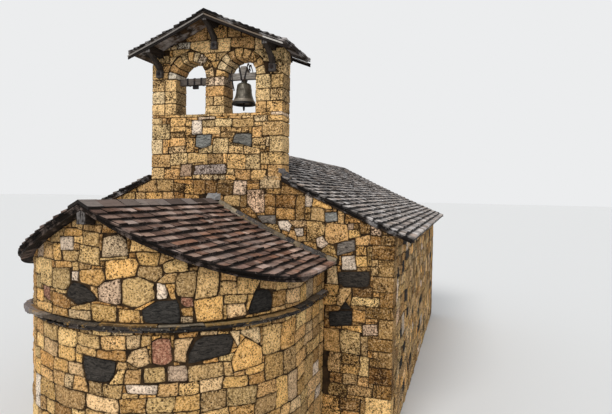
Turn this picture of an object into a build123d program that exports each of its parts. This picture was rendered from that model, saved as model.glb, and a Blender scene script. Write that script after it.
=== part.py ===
from build123d import *
from math import cos, radians, sin
import os

os.makedirs("parts", exist_ok=True)

# A small stone chapel: a nave, a round-ended apse, and a bell gable over the wall between them.
# Millimetres. X runs across the chapel, Y from the apse to the door, Z up from the lowest ground.
# The origin is under the middle of the roofs' outline.

# Nave, outside its walls.
nave_half_width = 4040
nave_length = 12200
side_wall = 450
east_wall = 425
west_wall = 450
wall_foot = 0

# Nave roof, heights of its top surface. The sag is how far a slope hollows at its middle.
nave_ridge = 6270
nave_eave = 4255
nave_eave_overhang = 395
nave_front_overhang = 120
nave_rear_overhang = 500
nave_roof_sag = 55
nave_roof_depth = 110
nave_beam_width = 160
nave_beam_depth = 200
nave_purlin_offset = 2100
beam_bearing = 200

# Apse: straight sides from the east wall, then a half circle.
apse_radius = 2595
apse_straight = 1305
apse_wall = 450
apse_ridge = 4940
apse_eave = 3685
apse_overhang = 270
apse_roof_sag = 80
apse_roof_depth = 110
apse_beam_width = 170
apse_beam_depth = 220
apse_beam_reach = 200

# Slate string course let into the apse wall.
string_top = 3135
string_depth = 120
string_projection = 140
string_bed = 150
string_weathering = 35

# Slate course along the joint of apse roof and east wall.
drip_height = 110
drip_projection = 150

# Floor and the arch between nave and apse.
floor_level = 300
chancel_half_width = 1500
chancel_springing = 2200

# Bell gable. Its sills stand above the nave's ridge, and the arches spring above the sills.
bell_half_width = 1600
bell_sill_rise = 583
bell_pier_rise = 817
bell_pier_half_width = 222
bell_opening_width = 772

# Roof over the bell gable. Its eaves stand above the springing of the arches, its ridge above the eaves.
bell_eave_rise = 520
bell_ridge_rise = 780
bell_roof_side_overhang = 282
bell_roof_front_overhang = 570
bell_roof_rear_overhang = 660
bell_roof_sag = 20
bell_roof_depth = 75
bell_purlin_width = 130
bell_purlin_depth = 150
bell_purlin_offset = 1385
verge_board_depth = 85
verge_board_thickness = 30
ridge_board_width = 190
ridge_board_depth = 30

# Knee braces and the shoes that they stand on.
strut_width = 100
strut_depth = 110
strut_head = 155
strut_belly = 22
strut_set_back = 40
shoe_width = 150
shoe_height = 170
shoe_projection = 110
side_shoe_drop = 455
middle_shoe_drop = 485

# Headstock of the bell in the right-hand opening: a squared timber with a raised middle. Its axis stands
# above the springing of the arch.
headstock_axis_rise = 20
headstock_depth = 140
headstock_width = 120
headstock_end_gap = 30
headstock_crest_rise = 150
headstock_crest_half_width = 60
headstock_crest_foot = 110
gudgeon_diameter = 36
gudgeon_play = 0.08
bearing_thickness = 45
bearing_size = 120

# Bell. Radii and heights are of its outer face; heights stand above the lip.
bell_mouth_radius = 270
bell_waist_radius = 190
bell_waist_height = 215
bell_shoulder_radius = 160
bell_shoulder_height = 420
bell_height = 490
bell_lip_thickness = 36
bell_wall = 18
bell_crown_wall = 50
bell_turnings = 2
bell_band_height = 64
bell_band_rise = 6
bell_band_width = 18
bell_crown_width = 90
bell_crown_height = 70

# Irons that hang the bell: a pair of splayed straps on each face of the headstock.
strap_width = 32
strap_thickness = 10
strap_foot_spread = 30
strap_head_spread = 105
strap_rise = 175
strap_hook_rise = 30
strap_hook_reach = 85
strap_hook_drop = 150
lever_width = 26
lever_thickness = 12
lever_inset = 77
lever_rise = 50
lever_knee_drop = 90
lever_knee_reach = 16
lever_drop = 306
lever_reach = 68

# Clapper inside the bell.
clapper_pivot_drop = 85
clapper_rod_diameter = 24
clapper_ball_diameter = 80
clapper_ball_length = 84
clapper_ball_height = 70
clapper_tail = 130
clapper_tail_diameter = 42
clapper_tail_length = 64
clapper_eye_diameter = 44
clapper_eye_width = 26
clapper_pin_diameter = 18
clapper_lug_thickness = 12
clapper_play = 0.5

# Empty headstock in the left-hand opening. Its axis lies below the springing of the arch.
empty_beam_axis_drop = 45
empty_beam_depth = 150
empty_beam_width = 120
empty_beam_bearing = 60
empty_band_width = 45
empty_band_thickness = 8
empty_band_spread = 175
empty_lug_width = 130
empty_lug_drop = 80
empty_lug_thickness = 60

# Doorway in the west wall.
door_half_width = 550
door_springing = 1850
door_leaf_thickness = 50
door_set_back = 120
door_gap = 3

# Room between pieces that lie against each other on a curve, and a quarter turn's drawing constant.
seat = 0.3
quarter_turn_pull = 0.5522847498

# Places worked out from the sizes above.
apse_reach = apse_straight + apse_radius + apse_overhang
nave_reach = nave_length + nave_rear_overhang
bell_sill = nave_ridge + bell_sill_rise
bell_springing = bell_sill + bell_pier_rise
bell_roof_eave = bell_springing + bell_eave_rise
bell_roof_ridge = bell_roof_eave + bell_ridge_rise
headstock_axis = bell_springing + headstock_axis_rise
bell_top = headstock_axis - headstock_depth / 2 - bell_crown_height
bell_lip = bell_top - bell_height
empty_beam_axis = bell_springing - empty_beam_axis_drop
east_face = (apse_reach - nave_reach) / 2
east_back = east_face + east_wall
west_face = east_face + nave_length
west_back = west_face - west_wall
apse_centre = east_face - apse_straight
nave_roof_reach = nave_half_width + nave_eave_overhang
apse_roof_reach = apse_radius + apse_overhang
bell_roof_reach = bell_half_width + bell_roof_side_overhang
bell_roof_front = east_face - bell_roof_front_overhang
bell_roof_back = east_back + bell_roof_rear_overhang
nave_roof_back = west_face + nave_rear_overhang
sky = bell_roof_ridge + 1000

nave_roof = (nave_ridge, nave_eave, nave_roof_reach, nave_roof_sag, nave_roof_depth)
apse_roof = (apse_ridge, apse_eave, apse_roof_reach, apse_roof_sag, apse_roof_depth)
bell_roof = (bell_roof_ridge, bell_roof_eave, bell_roof_reach, bell_roof_sag, bell_roof_depth)


def across(y):
    """Plane across the chapel at y, seen from the apse. Extrusions run towards the apse."""
    return Plane.XZ.offset(-y)


def along(x):
    """Plane along the chapel at x. Extrusions run to the right."""
    return Plane.YZ.offset(x)


def under_roof(roof, x):
    """Height of a roof's underside at x."""
    ridge, eave, reach, sag, depth = roof
    share = abs(x) / reach
    return ridge - depth - (ridge - eave) * share - 4 * sag * share * (1 - share)


def slope_line(roof, side, drop):
    """One slope's hollow line, from the ridge down to the eave, a drop below the top surface."""
    ridge, eave, reach, sag, depth = roof
    hollow = (side * reach / 2, (ridge + eave) / 2 - sag - drop)
    return ThreePointArc((0, ridge - drop), hollow, (side * reach, eave - drop))


def slope_slab(roof, side, back, front, top_drop, bottom_drop, past=0):
    """A slab that follows one slope between two drops below its top, and straight on past the eave."""
    with BuildSketch(across(back)) as section:
        with BuildLine():
            top = slope_line(roof, side, top_drop)
            bottom = slope_line(roof, side, bottom_drop)
            ends = [line @ 1 + (line % 1) * past for line in (top, bottom)]
            if past:
                Line(top @ 1, ends[0])
                Line(bottom @ 1, ends[1])
            Line(top @ 0, bottom @ 0)
            Line(*ends)
        make_face()
    extrude(section.sketch, amount=back - front)


def cut_to_roof(roof, back, front):
    """Cuts away what stands above a roof's underside."""
    ridge, eave, reach, sag, depth = roof
    for side in (-1, 1):
        with BuildSketch(across(back)) as above:
            with BuildLine():
                line = slope_line(roof, side, depth + seat)
                Polyline(line @ 1, (side * reach, sky), (0, sky), line @ 0)
            make_face()
        extrude(above.sketch, amount=back - front, mode=Mode.SUBTRACT)


def block(x, y, z, mode=Mode.ADD):
    """A squared block, or a squared hole, between pairs of x, y and z."""
    middle = [(pair[0] + pair[1]) / 2 for pair in (x, y, z)]
    size = [abs(pair[1] - pair[0]) for pair in (x, y, z)]
    with Locations(tuple(middle)):
        Box(*size, mode=mode)


def cut_arch(x, springing, radius, back, front):
    """A half-round arch cut through a wall."""
    with BuildSketch(across(back)) as arch:
        with Locations((x, springing)):
            Circle(radius)
    extrude(arch.sketch, amount=back - front, mode=Mode.SUBTRACT)


def save(piece, name):
    """Names a piece and writes it."""
    piece.part.label = name
    export_step(piece.part, f"parts/{name}.step")


# Side walls of the nave, under the eaves.
for name, side in (("nave_wall_left", -1), ("nave_wall_right", 1)):
    with BuildPart() as side_wall_piece:
        faces_x = (side * (nave_half_width - side_wall), side * nave_half_width)
        block(faces_x, (east_back, west_back), (wall_foot, nave_ridge))
        cut_to_roof(nave_roof, west_back, east_back)
    save(side_wall_piece, name)

# Rear wall beside the doorway.
for name, side in (("west_wall_left", -1), ("west_wall_right", 1)):
    with BuildPart() as door_side:
        faces_x = (side * door_half_width, side * nave_half_width)
        block(faces_x, (west_back, west_face), (wall_foot, door_springing))
    save(door_side, name)


def cut_beam_seat(x, width, depth, roof, back, front):
    """A pocket for a roof timber, open at the top of the wall."""
    foot = under_roof(roof, x) - depth
    pocket_x = (x - width / 2 - seat, x + width / 2 + seat)
    block(pocket_x, (front, back), (foot, foot + 2 * depth), mode=Mode.SUBTRACT)


# Rear gable over the doorway, with the roof timbers let through it.
with BuildPart() as west_gable:
    block((-nave_half_width, nave_half_width), (west_back, west_face), (door_springing, nave_ridge))
    cut_to_roof(nave_roof, west_face, west_back)
    cut_arch(0, door_springing, door_half_width, west_face, west_back)
    for x in (-nave_purlin_offset, 0, nave_purlin_offset):
        cut_beam_seat(x, nave_beam_width, nave_beam_depth, nave_roof, west_face, west_back)
save(west_gable, "west_gable")

# East wall beside the arch into the apse.
for name, side in (("east_wall_left", -1), ("east_wall_right", 1)):
    with BuildPart() as arch_side:
        faces_x = (side * chancel_half_width, side * nave_half_width)
        block(faces_x, (east_face, east_back), (wall_foot, chancel_springing))
    save(arch_side, name)

# East wall over the arch, up to the nave roof and to the foot of the bell gable.
bell_bed = under_roof(nave_roof, bell_half_width)
with BuildPart() as east_wall_head:
    block((-nave_half_width, nave_half_width), (east_face, east_back), (chancel_springing, bell_bed))
    cut_to_roof(nave_roof, east_back, east_face)
    cut_arch(0, chancel_springing, chancel_half_width, east_back, east_face)
    for x in (-nave_purlin_offset, nave_purlin_offset):
        cut_beam_seat(x, nave_beam_width, nave_beam_depth, nave_roof, east_back, east_back - beam_bearing)
save(east_wall_head, "east_wall_head")

# Bell gable below its openings.
with BuildPart() as bell_gable_base:
    block((-bell_half_width, bell_half_width), (east_face, east_back), (bell_bed, bell_sill))
    ridge_beam_foot = under_roof(nave_roof, 0) - nave_beam_depth
    ridge_beam_top = under_roof(nave_roof, 0) + seat
    pocket_x = (-nave_beam_width / 2 - seat, nave_beam_width / 2 + seat)
    pocket_y = (east_back - beam_bearing, east_back)
    block(pocket_x, pocket_y, (ridge_beam_foot, ridge_beam_top), mode=Mode.SUBTRACT)
save(bell_gable_base, "bell_gable_base")

# Where the gear of the two openings is let into the masonry.
opening_near = bell_pier_half_width
opening_far = bell_pier_half_width + bell_opening_width
bell_centre = bell_pier_half_width + bell_opening_width / 2
wall_middle = (east_face + east_back) / 2


def middle_of_wall(width):
    """The two y faces of a piece of that width, set in the middle of the bell gable."""
    return (wall_middle - width / 2, wall_middle + width / 2)


def about(height, depth):
    """The two z faces of a piece of that depth, about a height."""
    return (height - depth / 2, height + depth / 2)


def cut_gear_pockets():
    """Pockets for the bell's bearings and for the ends of the empty headstock."""
    for x in (
        (opening_near - bearing_thickness, opening_near + headstock_end_gap),
        (opening_far - headstock_end_gap, opening_far + bearing_thickness),
    ):
        block(x, middle_of_wall(bearing_size), about(headstock_axis, bearing_size), mode=Mode.SUBTRACT)
    empty_x = (-opening_far - empty_beam_bearing, -opening_near + empty_beam_bearing)
    empty_z = about(empty_beam_axis, empty_beam_depth)
    block(empty_x, middle_of_wall(empty_beam_width), empty_z, mode=Mode.SUBTRACT)


# Three piers of the bell gable.
for name, near, far in (
    ("bell_pier_left", -bell_half_width, -opening_far),
    ("bell_pier_middle", -opening_near, opening_near),
    ("bell_pier_right", opening_far, bell_half_width),
):
    with BuildPart() as pier:
        block((near, far), (east_face, east_back), (bell_sill, bell_springing))
        cut_gear_pockets()
    save(pier, name)

# Head of the bell gable with its two arches and the seats of the roof timbers.
with BuildPart() as bell_gable_head:
    head_z = (bell_springing, bell_roof_ridge)
    block((-bell_half_width, bell_half_width), (east_face, east_back), head_z)
    cut_to_roof(bell_roof, east_back, east_face)
    for x in (-bell_centre, bell_centre):
        cut_arch(x, bell_springing, bell_opening_width / 2, east_back, east_face)
    for x in (-bell_purlin_offset, 0, bell_purlin_offset):
        cut_beam_seat(x, bell_purlin_width, bell_purlin_depth, bell_roof, east_back, east_face)
    cut_gear_pockets()
save(bell_gable_head, "bell_gable_head")


def apse_plan(radius):
    """Plan outline of the apse at a radius, closed along the east wall."""
    with BuildSketch() as plan:
        with BuildLine():
            left, right = (-radius, apse_centre), (radius, apse_centre)
            Polyline(left, (-radius, east_face), (radius, east_face), right)
            ThreePointArc(right, (0, apse_centre - radius), left)
        make_face()
    return plan.sketch


def cut_string_seat():
    """The groove for the slate string course, round the outside of the apse wall."""
    with BuildPart(mode=Mode.PRIVATE) as groove:
        with BuildSketch(Plane.XY.offset(string_top - string_depth)):
            add(apse_plan(apse_radius + string_bed))
            add(apse_plan(apse_radius - string_bed), mode=Mode.SUBTRACT)
        extrude(amount=string_depth)
    add(groove.part, mode=Mode.SUBTRACT)


# Straight sides of the apse wall.
for name, side in (("apse_wall_left_side", -1), ("apse_wall_right_side", 1)):
    with BuildPart() as straight_side:
        faces_x = (side * (apse_radius - apse_wall), side * apse_radius)
        block(faces_x, (apse_centre, east_face), (wall_foot, apse_ridge))
        cut_to_roof(apse_roof, east_face, apse_centre)
        cut_string_seat()
    save(straight_side, name)

# Round end of the apse wall, in three lengths.
round_names = ("apse_wall_left", "apse_wall_front", "apse_wall_right")
round_turn = 180 / len(round_names)
for index, name in enumerate(round_names):
    with BuildPart() as round_wall:
        with BuildSketch(Plane.XY.offset(wall_foot)):
            with BuildLine():
                start = 180 + index * round_turn
                outside = CenterArc((0, apse_centre), apse_radius, start, round_turn)
                inside = CenterArc((0, apse_centre), apse_radius - apse_wall, start, round_turn)
                Line(outside @ 0, inside @ 0)
                Line(outside @ 1, inside @ 1)
            make_face()
        extrude(amount=apse_ridge - wall_foot)
        cut_to_roof(apse_roof, east_face, east_face - apse_reach)
        beam_foot = under_roof(apse_roof, 0) - apse_beam_depth
        pocket_x = (-apse_beam_width / 2 - seat, apse_beam_width / 2 + seat)
        pocket_y = (apse_centre - apse_radius, apse_centre)
        block(pocket_x, pocket_y, (beam_foot, apse_ridge), mode=Mode.SUBTRACT)
        cut_string_seat()
    save(round_wall, name)


def string_section(side, y):
    """Section of the string course: bedded in the wall, its top falling outwards."""
    bed = side * (apse_radius - string_bed + seat)
    face = side * apse_radius
    edge = side * (apse_radius + string_projection)
    foot = string_top - string_depth
    lip = string_top - string_weathering
    with BuildSketch(across(y)) as section:
        with BuildLine():
            Polyline(
                (bed, foot), (edge, foot), (edge, lip), (face, string_top), (bed, string_top), (bed, foot)
            )
        make_face()
    return section.sketch


# Slate string course round the apse.
with BuildPart() as string_course:
    revolve(string_section(-1, apse_centre), axis=Axis((0, apse_centre, 0), (0, 0, 1)), revolution_arc=180)
    for side in (-1, 1):
        extrude(string_section(side, east_face), amount=apse_straight)
save(string_course, "apse_string_course")

# Floors of nave and apse, on the ground, through the arch and the doorway.
with BuildPart() as nave_floor:
    inner_x = nave_half_width - side_wall
    block((-inner_x, inner_x), (east_back, west_back), (wall_foot, floor_level))
    block((-door_half_width, door_half_width), (west_back, west_face), (wall_foot, floor_level))
save(nave_floor, "nave_floor")

with BuildPart() as apse_floor:
    extrude(apse_plan(apse_radius - apse_wall - seat), amount=floor_level)
    arch_x = (-chancel_half_width, chancel_half_width)
    block(arch_x, (east_face, east_back), (wall_foot, floor_level))
save(apse_floor, "apse_floor")

# Slopes of the nave roof, notched round the bell gable.
for name, side in (("nave_roof_left", -1), ("nave_roof_right", 1)):
    with BuildPart() as nave_slope:
        slope_slab(nave_roof, side, nave_roof_back, east_face - nave_front_overhang, 0, nave_roof_depth)
        notch_x = (0, side * (bell_half_width + seat))
        notch_y = (east_face - nave_front_overhang, east_back + seat)
        block(notch_x, notch_y, (nave_eave, sky), mode=Mode.SUBTRACT)
    save(nave_slope, name)


# Ridge boards, bent over each ridge.
for name, roof, back, front in (
    ("nave_ridge_cap", nave_roof, nave_roof_back, east_back + seat),
    ("apse_ridge_cap", apse_roof, east_face, east_face - apse_reach),
    ("bell_roof_ridge_cap", bell_roof, bell_roof_back, bell_roof_front),
):
    ridge = roof[0]
    with BuildPart() as ridge_cap:
        for side in (-1, 1):
            slope_slab(roof, side, back, front, -ridge_board_depth, -seat)
            past_x = (side * ridge_board_width, side * roof[2])
            block(past_x, (front, back), (wall_foot, sky), mode=Mode.SUBTRACT)
    save(ridge_cap, name)

# Ridge beam and purlins of the nave roof, from the east wall out under the rear verge.
with BuildPart() as nave_beams:
    for x in (-nave_purlin_offset, 0, nave_purlin_offset):
        foot = under_roof(nave_roof, x) - nave_beam_depth
        beam_x = (x - nave_beam_width / 2, x + nave_beam_width / 2)
        block(beam_x, (east_back - beam_bearing, nave_roof_back), (foot, foot + 2 * nave_beam_depth))
    cut_to_roof(nave_roof, nave_roof_back, east_back - beam_bearing)
save(nave_beams, "nave_beams")

def round_roof_plan():
    """Plan of the apse roof, its round end drawn as two quarter turns."""
    radius, pull = apse_roof_reach, apse_roof_reach * quarter_turn_pull
    left, right, tip = (-radius, apse_centre), (radius, apse_centre), (0, apse_centre - radius)
    with BuildSketch() as plan:
        with BuildLine():
            Polyline(left, (-radius, east_face), (radius, east_face), right)
            Bezier(right, (radius, apse_centre - pull), (pull, tip[1]), tip)
            Bezier(tip, (-pull, tip[1]), (-radius, apse_centre - pull), left)
        make_face()
    return plan.sketch


# Apse roof: two hollow slopes, cut to the round plan.
for name, side in (("apse_roof_left", -1), ("apse_roof_right", 1)):
    with BuildPart() as apse_slope:
        slope_front = east_face - apse_reach - apse_overhang
        slope_slab(apse_roof, side, east_face, slope_front, 0, apse_roof_depth, past=apse_overhang)
        extrude(round_roof_plan(), amount=sky, mode=Mode.INTERSECT)
    save(apse_slope, name)

# Ridge beam of the apse, whose end shows under the tip of the roof.
with BuildPart() as apse_beam:
    foot = under_roof(apse_roof, 0) - apse_beam_depth
    beam_x = (-apse_beam_width / 2, apse_beam_width / 2)
    beam_y = (apse_centre - apse_radius - apse_beam_reach, east_face)
    block(beam_x, beam_y, (foot, foot + 2 * apse_beam_depth))
    cut_to_roof(apse_roof, east_face, east_face - apse_reach)
save(apse_beam, "apse_ridge_beam")

# Slates over the joint of the apse roof and the east wall.
with BuildPart() as drip_course:
    for side in (-1, 1):
        slope_slab(apse_roof, side, east_face, east_face - drip_projection, -drip_height, -seat)
    cap_x = (-ridge_board_width, ridge_board_width)
    cap_y = (east_face - drip_projection, east_face)
    block(cap_x, cap_y, (wall_foot, sky), mode=Mode.SUBTRACT)
save(drip_course, "apse_drip_course")

# Slopes of the bell gable's roof.
for name, side in (("bell_roof_left", -1), ("bell_roof_right", 1)):
    with BuildPart() as bell_slope:
        slope_slab(bell_roof, side, bell_roof_back, bell_roof_front, 0, bell_roof_depth)
    save(bell_slope, name)

# Verge boards under the front and rear edges of that roof.
with BuildPart() as verge_boards:
    for back in (bell_roof_front + verge_board_thickness, bell_roof_back):
        for side in (-1, 1):
            front = back - verge_board_thickness
            low = bell_roof_depth + verge_board_depth
            slope_slab(bell_roof, side, back, front, bell_roof_depth + seat, low)
save(verge_boards, "bell_verge_boards")

# Purlins of the bell gable's roof.
purlin_front = bell_roof_front + verge_board_thickness
purlin_back = bell_roof_back - verge_board_thickness
with BuildPart() as bell_purlins:
    for x in (-bell_purlin_offset, 0, bell_purlin_offset):
        foot = under_roof(bell_roof, x) - bell_purlin_depth
        beam_x = (x - bell_purlin_width / 2, x + bell_purlin_width / 2)
        block(beam_x, (purlin_front, purlin_back), (foot, foot + 2 * bell_purlin_depth))
    cut_to_roof(bell_roof, purlin_back, purlin_front)
save(bell_purlins, "bell_roof_purlins")

# Knee braces from the gable's two faces up to the purlins, curved on their inner edge.
shoe_drops = {-bell_purlin_offset: side_shoe_drop, 0: middle_shoe_drop, bell_purlin_offset: side_shoe_drop}
with BuildPart() as struts:
    for x, shoe_drop in shoe_drops.items():
        top = under_roof(bell_roof, x) - bell_purlin_depth
        shoe_top = top - shoe_drop + shoe_height
        for face, out, end in ((east_face, -1, purlin_front), (east_back, 1, purlin_back)):
            tip = end - out * strut_set_back
            with BuildSketch(along(x - strut_width / 2)):
                with BuildLine():
                    heel = (face + out * strut_depth, shoe_top)
                    inner = (tip - out * strut_head, top)
                    Polyline((face, shoe_top), heel)
                    Line((tip, top), inner)
                    Line((face, shoe_top + strut_depth), (face, shoe_top))
                    belly = ((heel[0] + tip) / 2 - out * strut_belly, (heel[1] + top) / 2 + strut_belly)
                    ThreePointArc(heel, belly, (tip, top))
                    Line(inner, (face, shoe_top + strut_depth))
                make_face()
            extrude(amount=strut_width)
save(struts, "bell_roof_struts")

# Shoes under the knee braces.
with BuildPart() as shoes:
    for x, shoe_drop in shoe_drops.items():
        shoe_foot = under_roof(bell_roof, x) - bell_purlin_depth - shoe_drop
        for face, out in ((east_face, -1), (east_back, 1)):
            shoe_x = (x - shoe_width / 2, x + shoe_width / 2)
            block(shoe_x, (face, face + out * shoe_projection), (shoe_foot, shoe_foot + shoe_height))
save(shoes, "bell_strut_shoes")

# Headstock of the bell: a squared timber, raised in the middle, on two iron gudgeons.
headstock_half = bell_opening_width / 2 - headstock_end_gap
headstock_y = middle_of_wall(headstock_width)
headstock_z = about(headstock_axis, headstock_depth)
gudgeon_half = bell_opening_width / 2 + bearing_thickness / 2
with BuildPart() as headstock:
    with BuildSketch(across(headstock_y[1])):
        with BuildLine():
            crest = headstock_z[1] + headstock_crest_rise
            left, right = bell_centre - headstock_half, bell_centre + headstock_half
            Polyline(
                (left, headstock_z[0]),
                (right, headstock_z[0]),
                (right, headstock_z[1]),
                (bell_centre + headstock_crest_foot, headstock_z[1]),
                (bell_centre + headstock_crest_half_width, crest),
                (bell_centre - headstock_crest_half_width, crest),
                (bell_centre - headstock_crest_foot, headstock_z[1]),
                (left, headstock_z[1]),
                (left, headstock_z[0]),
            )
        make_face()
    extrude(amount=headstock_width)
    with BuildSketch(along(bell_centre - gudgeon_half)):
        with Locations((wall_middle, headstock_axis)):
            Circle(gudgeon_diameter / 2)
    extrude(amount=2 * gudgeon_half)
save(headstock, "bell_headstock")

# Bearings let into the two reveals, bored for the gudgeons.
with BuildPart() as bearings:
    for start in (opening_near - bearing_thickness, opening_far):
        with BuildSketch(along(start)):
            with Locations((wall_middle, headstock_axis)):
                Rectangle(bearing_size, bearing_size)
                Circle(gudgeon_diameter / 2 + gudgeon_play, mode=Mode.SUBTRACT)
        extrude(amount=bearing_thickness)
save(bearings, "bell_bearings")


# Bell: one turned wall with a thick lip and a raised band, the block that hangs it, and two lugs for the
# clapper's pin. Its hollow outer face is turned in straight lengths.
pivot_z = bell_top - clapper_pivot_drop
bell_axis = Axis((bell_centre, wall_middle, 0), (0, 0, 1))
bell_section = Plane(origin=(bell_centre, wall_middle, 0), x_dir=(1, 0, 0), z_dir=(0, -1, 0))
waist_z = bell_lip + bell_waist_height
shoulder_z = bell_lip + bell_shoulder_height
with BuildPart() as bell:
    with BuildSketch(bell_section):
        with BuildLine(mode=Mode.PRIVATE):
            hollow = ThreePointArc(
                (bell_mouth_radius, bell_lip),
                (bell_waist_radius, waist_z),
                (bell_shoulder_radius, shoulder_z),
            )
        band_at = hollow @ (bell_band_height / bell_shoulder_height)
        turned = [hollow @ 0, band_at]
        turned += [hollow @ (step / bell_turnings) for step in range(1, bell_turnings + 1)]
        with BuildLine():
            Polyline(
                *[(point.X, point.Y) for point in turned],
                (bell_shoulder_radius + shoulder_z - bell_top, bell_top),
                (0, bell_top),
                (0, bell_top - bell_crown_wall),
                (bell_shoulder_radius - 2 * bell_wall, bell_top - bell_crown_wall),
                (bell_waist_radius - bell_wall, waist_z),
                (bell_mouth_radius - bell_lip_thickness, bell_lip),
                (bell_mouth_radius, bell_lip),
            )
        make_face()
        with Locations((band_at.X + bell_band_rise - bell_wall / 2, band_at.Y)):
            Rectangle(bell_wall, bell_band_width)
    revolve(axis=bell_axis)
    crown_x = (bell_centre - bell_crown_width / 2, bell_centre + bell_crown_width / 2)
    block(crown_x, headstock_y, (bell_top - bell_wall, headstock_z[0]))
    for side in (-1, 1):
        lug_near = bell_centre + side * (clapper_eye_width / 2 + clapper_play)
        lug_far = lug_near + side * clapper_lug_thickness
        lug_z = (pivot_z - clapper_eye_diameter / 2, bell_top - bell_wall)
        block((lug_near, lug_far), middle_of_wall(clapper_eye_diameter), lug_z)
    with BuildSketch(along(bell_centre - clapper_eye_width)):
        with Locations((wall_middle, pivot_z)):
            Circle(clapper_pin_diameter / 2)
    extrude(amount=2 * clapper_eye_width)
save(bell, "bell")

# Clapper: an eye on the bell's pin, a rod, a ball and a tail that hangs below the lip.
with BuildPart() as clapper:
    with BuildSketch(along(bell_centre - clapper_eye_width / 2)):
        with Locations((wall_middle, pivot_z)):
            Circle(clapper_eye_diameter / 2)
    extrude(amount=clapper_eye_width)
    with BuildSketch(bell_section):
        with BuildLine():
            rod = clapper_rod_diameter / 2
            tail = clapper_tail_diameter / 2
            ball = clapper_ball_diameter / 2
            rod_top = pivot_z - clapper_eye_diameter / 4
            tail_z = bell_lip - clapper_tail
            ball_z = bell_lip + clapper_ball_height
            ball_half = clapper_ball_length / 2
            Polyline(
                (0, rod_top),
                (rod, rod_top),
                (rod, ball_z + ball_half),
                (ball, ball_z),
                (ball, ball_z - ball_half),
                (rod, ball_z - ball_half),
                (rod, tail_z + clapper_tail_length),
                (tail, tail_z + clapper_tail_length),
                (tail, tail_z),
                (0, tail_z),
                (0, rod_top),
            )
        make_face()
    revolve(axis=bell_axis)
    with BuildSketch(along(bell_centre - clapper_eye_width)):
        with Locations((wall_middle, pivot_z)):
            Circle(clapper_pin_diameter / 2 + clapper_play)
    extrude(amount=2 * clapper_eye_width, mode=Mode.SUBTRACT)
save(clapper, "clapper")

# Splayed straps on both faces of the headstock, from the bell's crown up past the raised middle.
with BuildPart() as straps:
    for plane_y in (headstock_y[0], headstock_y[1] + strap_thickness):
        with BuildSketch(across(plane_y)):
            with BuildLine():
                half = strap_width / 2
                foot = headstock_z[0] - strap_width
                head = headstock_z[1] + strap_rise
                hook_tip = (bell_centre + strap_head_spread + strap_hook_reach, head - strap_hook_drop)
                Polyline(
                    (bell_centre - strap_foot_spread - half, foot),
                    (bell_centre + strap_foot_spread + half, foot),
                    (bell_centre + strap_head_spread + half, head),
                    (hook_tip[0] - half, hook_tip[1]),
                    hook_tip,
                    (bell_centre + strap_head_spread + strap_width, head + strap_hook_rise),
                    (bell_centre + strap_head_spread, head + strap_hook_rise),
                    (bell_centre + strap_foot_spread - half, foot + strap_width),
                    (bell_centre - strap_foot_spread + half, foot + strap_width),
                    (bell_centre - strap_head_spread + half, head),
                    (bell_centre - strap_head_spread - half, head),
                    (bell_centre - strap_foot_spread - half, foot),
                )
            make_face()
        extrude(amount=strap_thickness)
save(straps, "headstock_straps")

# Bent lever that the bell is rung by, on the headstock's left end.
with BuildPart() as lever:
    lever_x = bell_centre - headstock_half + lever_inset
    with BuildSketch(across(headstock_y[0])):
        with BuildLine():
            lever_line = Polyline(
                (lever_x, headstock_z[1] + lever_rise),
                (lever_x + lever_knee_reach, headstock_axis - lever_knee_drop),
                (lever_x + lever_reach, headstock_axis - lever_drop),
            )
            offset(lever_line, amount=lever_width / 2, side=Side.BOTH)
        make_face()
    extrude(amount=lever_thickness)
save(lever, "bell_lever")

# Empty headstock in the left-hand opening, its ends let into the piers.
with BuildPart() as empty_beam:
    empty_x = (-opening_far - empty_beam_bearing, -opening_near + empty_beam_bearing)
    block(empty_x, middle_of_wall(empty_beam_width), about(empty_beam_axis, empty_beam_depth))
save(empty_beam, "empty_headstock")

# Iron bands round the empty headstock, and the lug under it that a bell would hang from.
with BuildPart() as empty_irons:
    band_out = (empty_beam_width + 2 * empty_band_thickness, empty_beam_depth + 2 * empty_band_thickness)
    for shift in (-empty_band_spread, 0, empty_band_spread):
        band_x = (-bell_centre + shift - empty_band_width / 2, -bell_centre + shift + empty_band_width / 2)
        block(band_x, middle_of_wall(band_out[0]), about(empty_beam_axis, band_out[1]))
    lug_x = (-bell_centre - empty_lug_width / 2, -bell_centre + empty_lug_width / 2)
    lug_top = empty_beam_axis - empty_beam_depth / 2
    block(lug_x, middle_of_wall(empty_lug_thickness), (lug_top - empty_lug_drop, lug_top))
    room = (empty_beam_width + 2 * seat, empty_beam_depth + 2 * seat)
    block(empty_x, middle_of_wall(room[0]), about(empty_beam_axis, room[1]), mode=Mode.SUBTRACT)
save(empty_irons, "empty_headstock_irons")

# Doorway's boarded leaf, closed.
with BuildPart() as door_leaf:
    leaf_back = west_face - door_set_back
    with BuildSketch(across(leaf_back)):
        with Locations((0, door_springing)):
            Circle(door_half_width - door_gap)
        with Locations((0, (door_springing + floor_level + seat) / 2)):
            Rectangle(2 * (door_half_width - door_gap), door_springing - floor_level - seat)
    extrude(amount=door_leaf_thickness)
save(door_leaf, "door_leaf")
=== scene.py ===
from contextlib import contextmanager
from math import ceil, cos, hypot, pi, radians, sin, sqrt
from random import Random
import bpy
import numpy as np
from mathutils import Matrix, Vector


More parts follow.
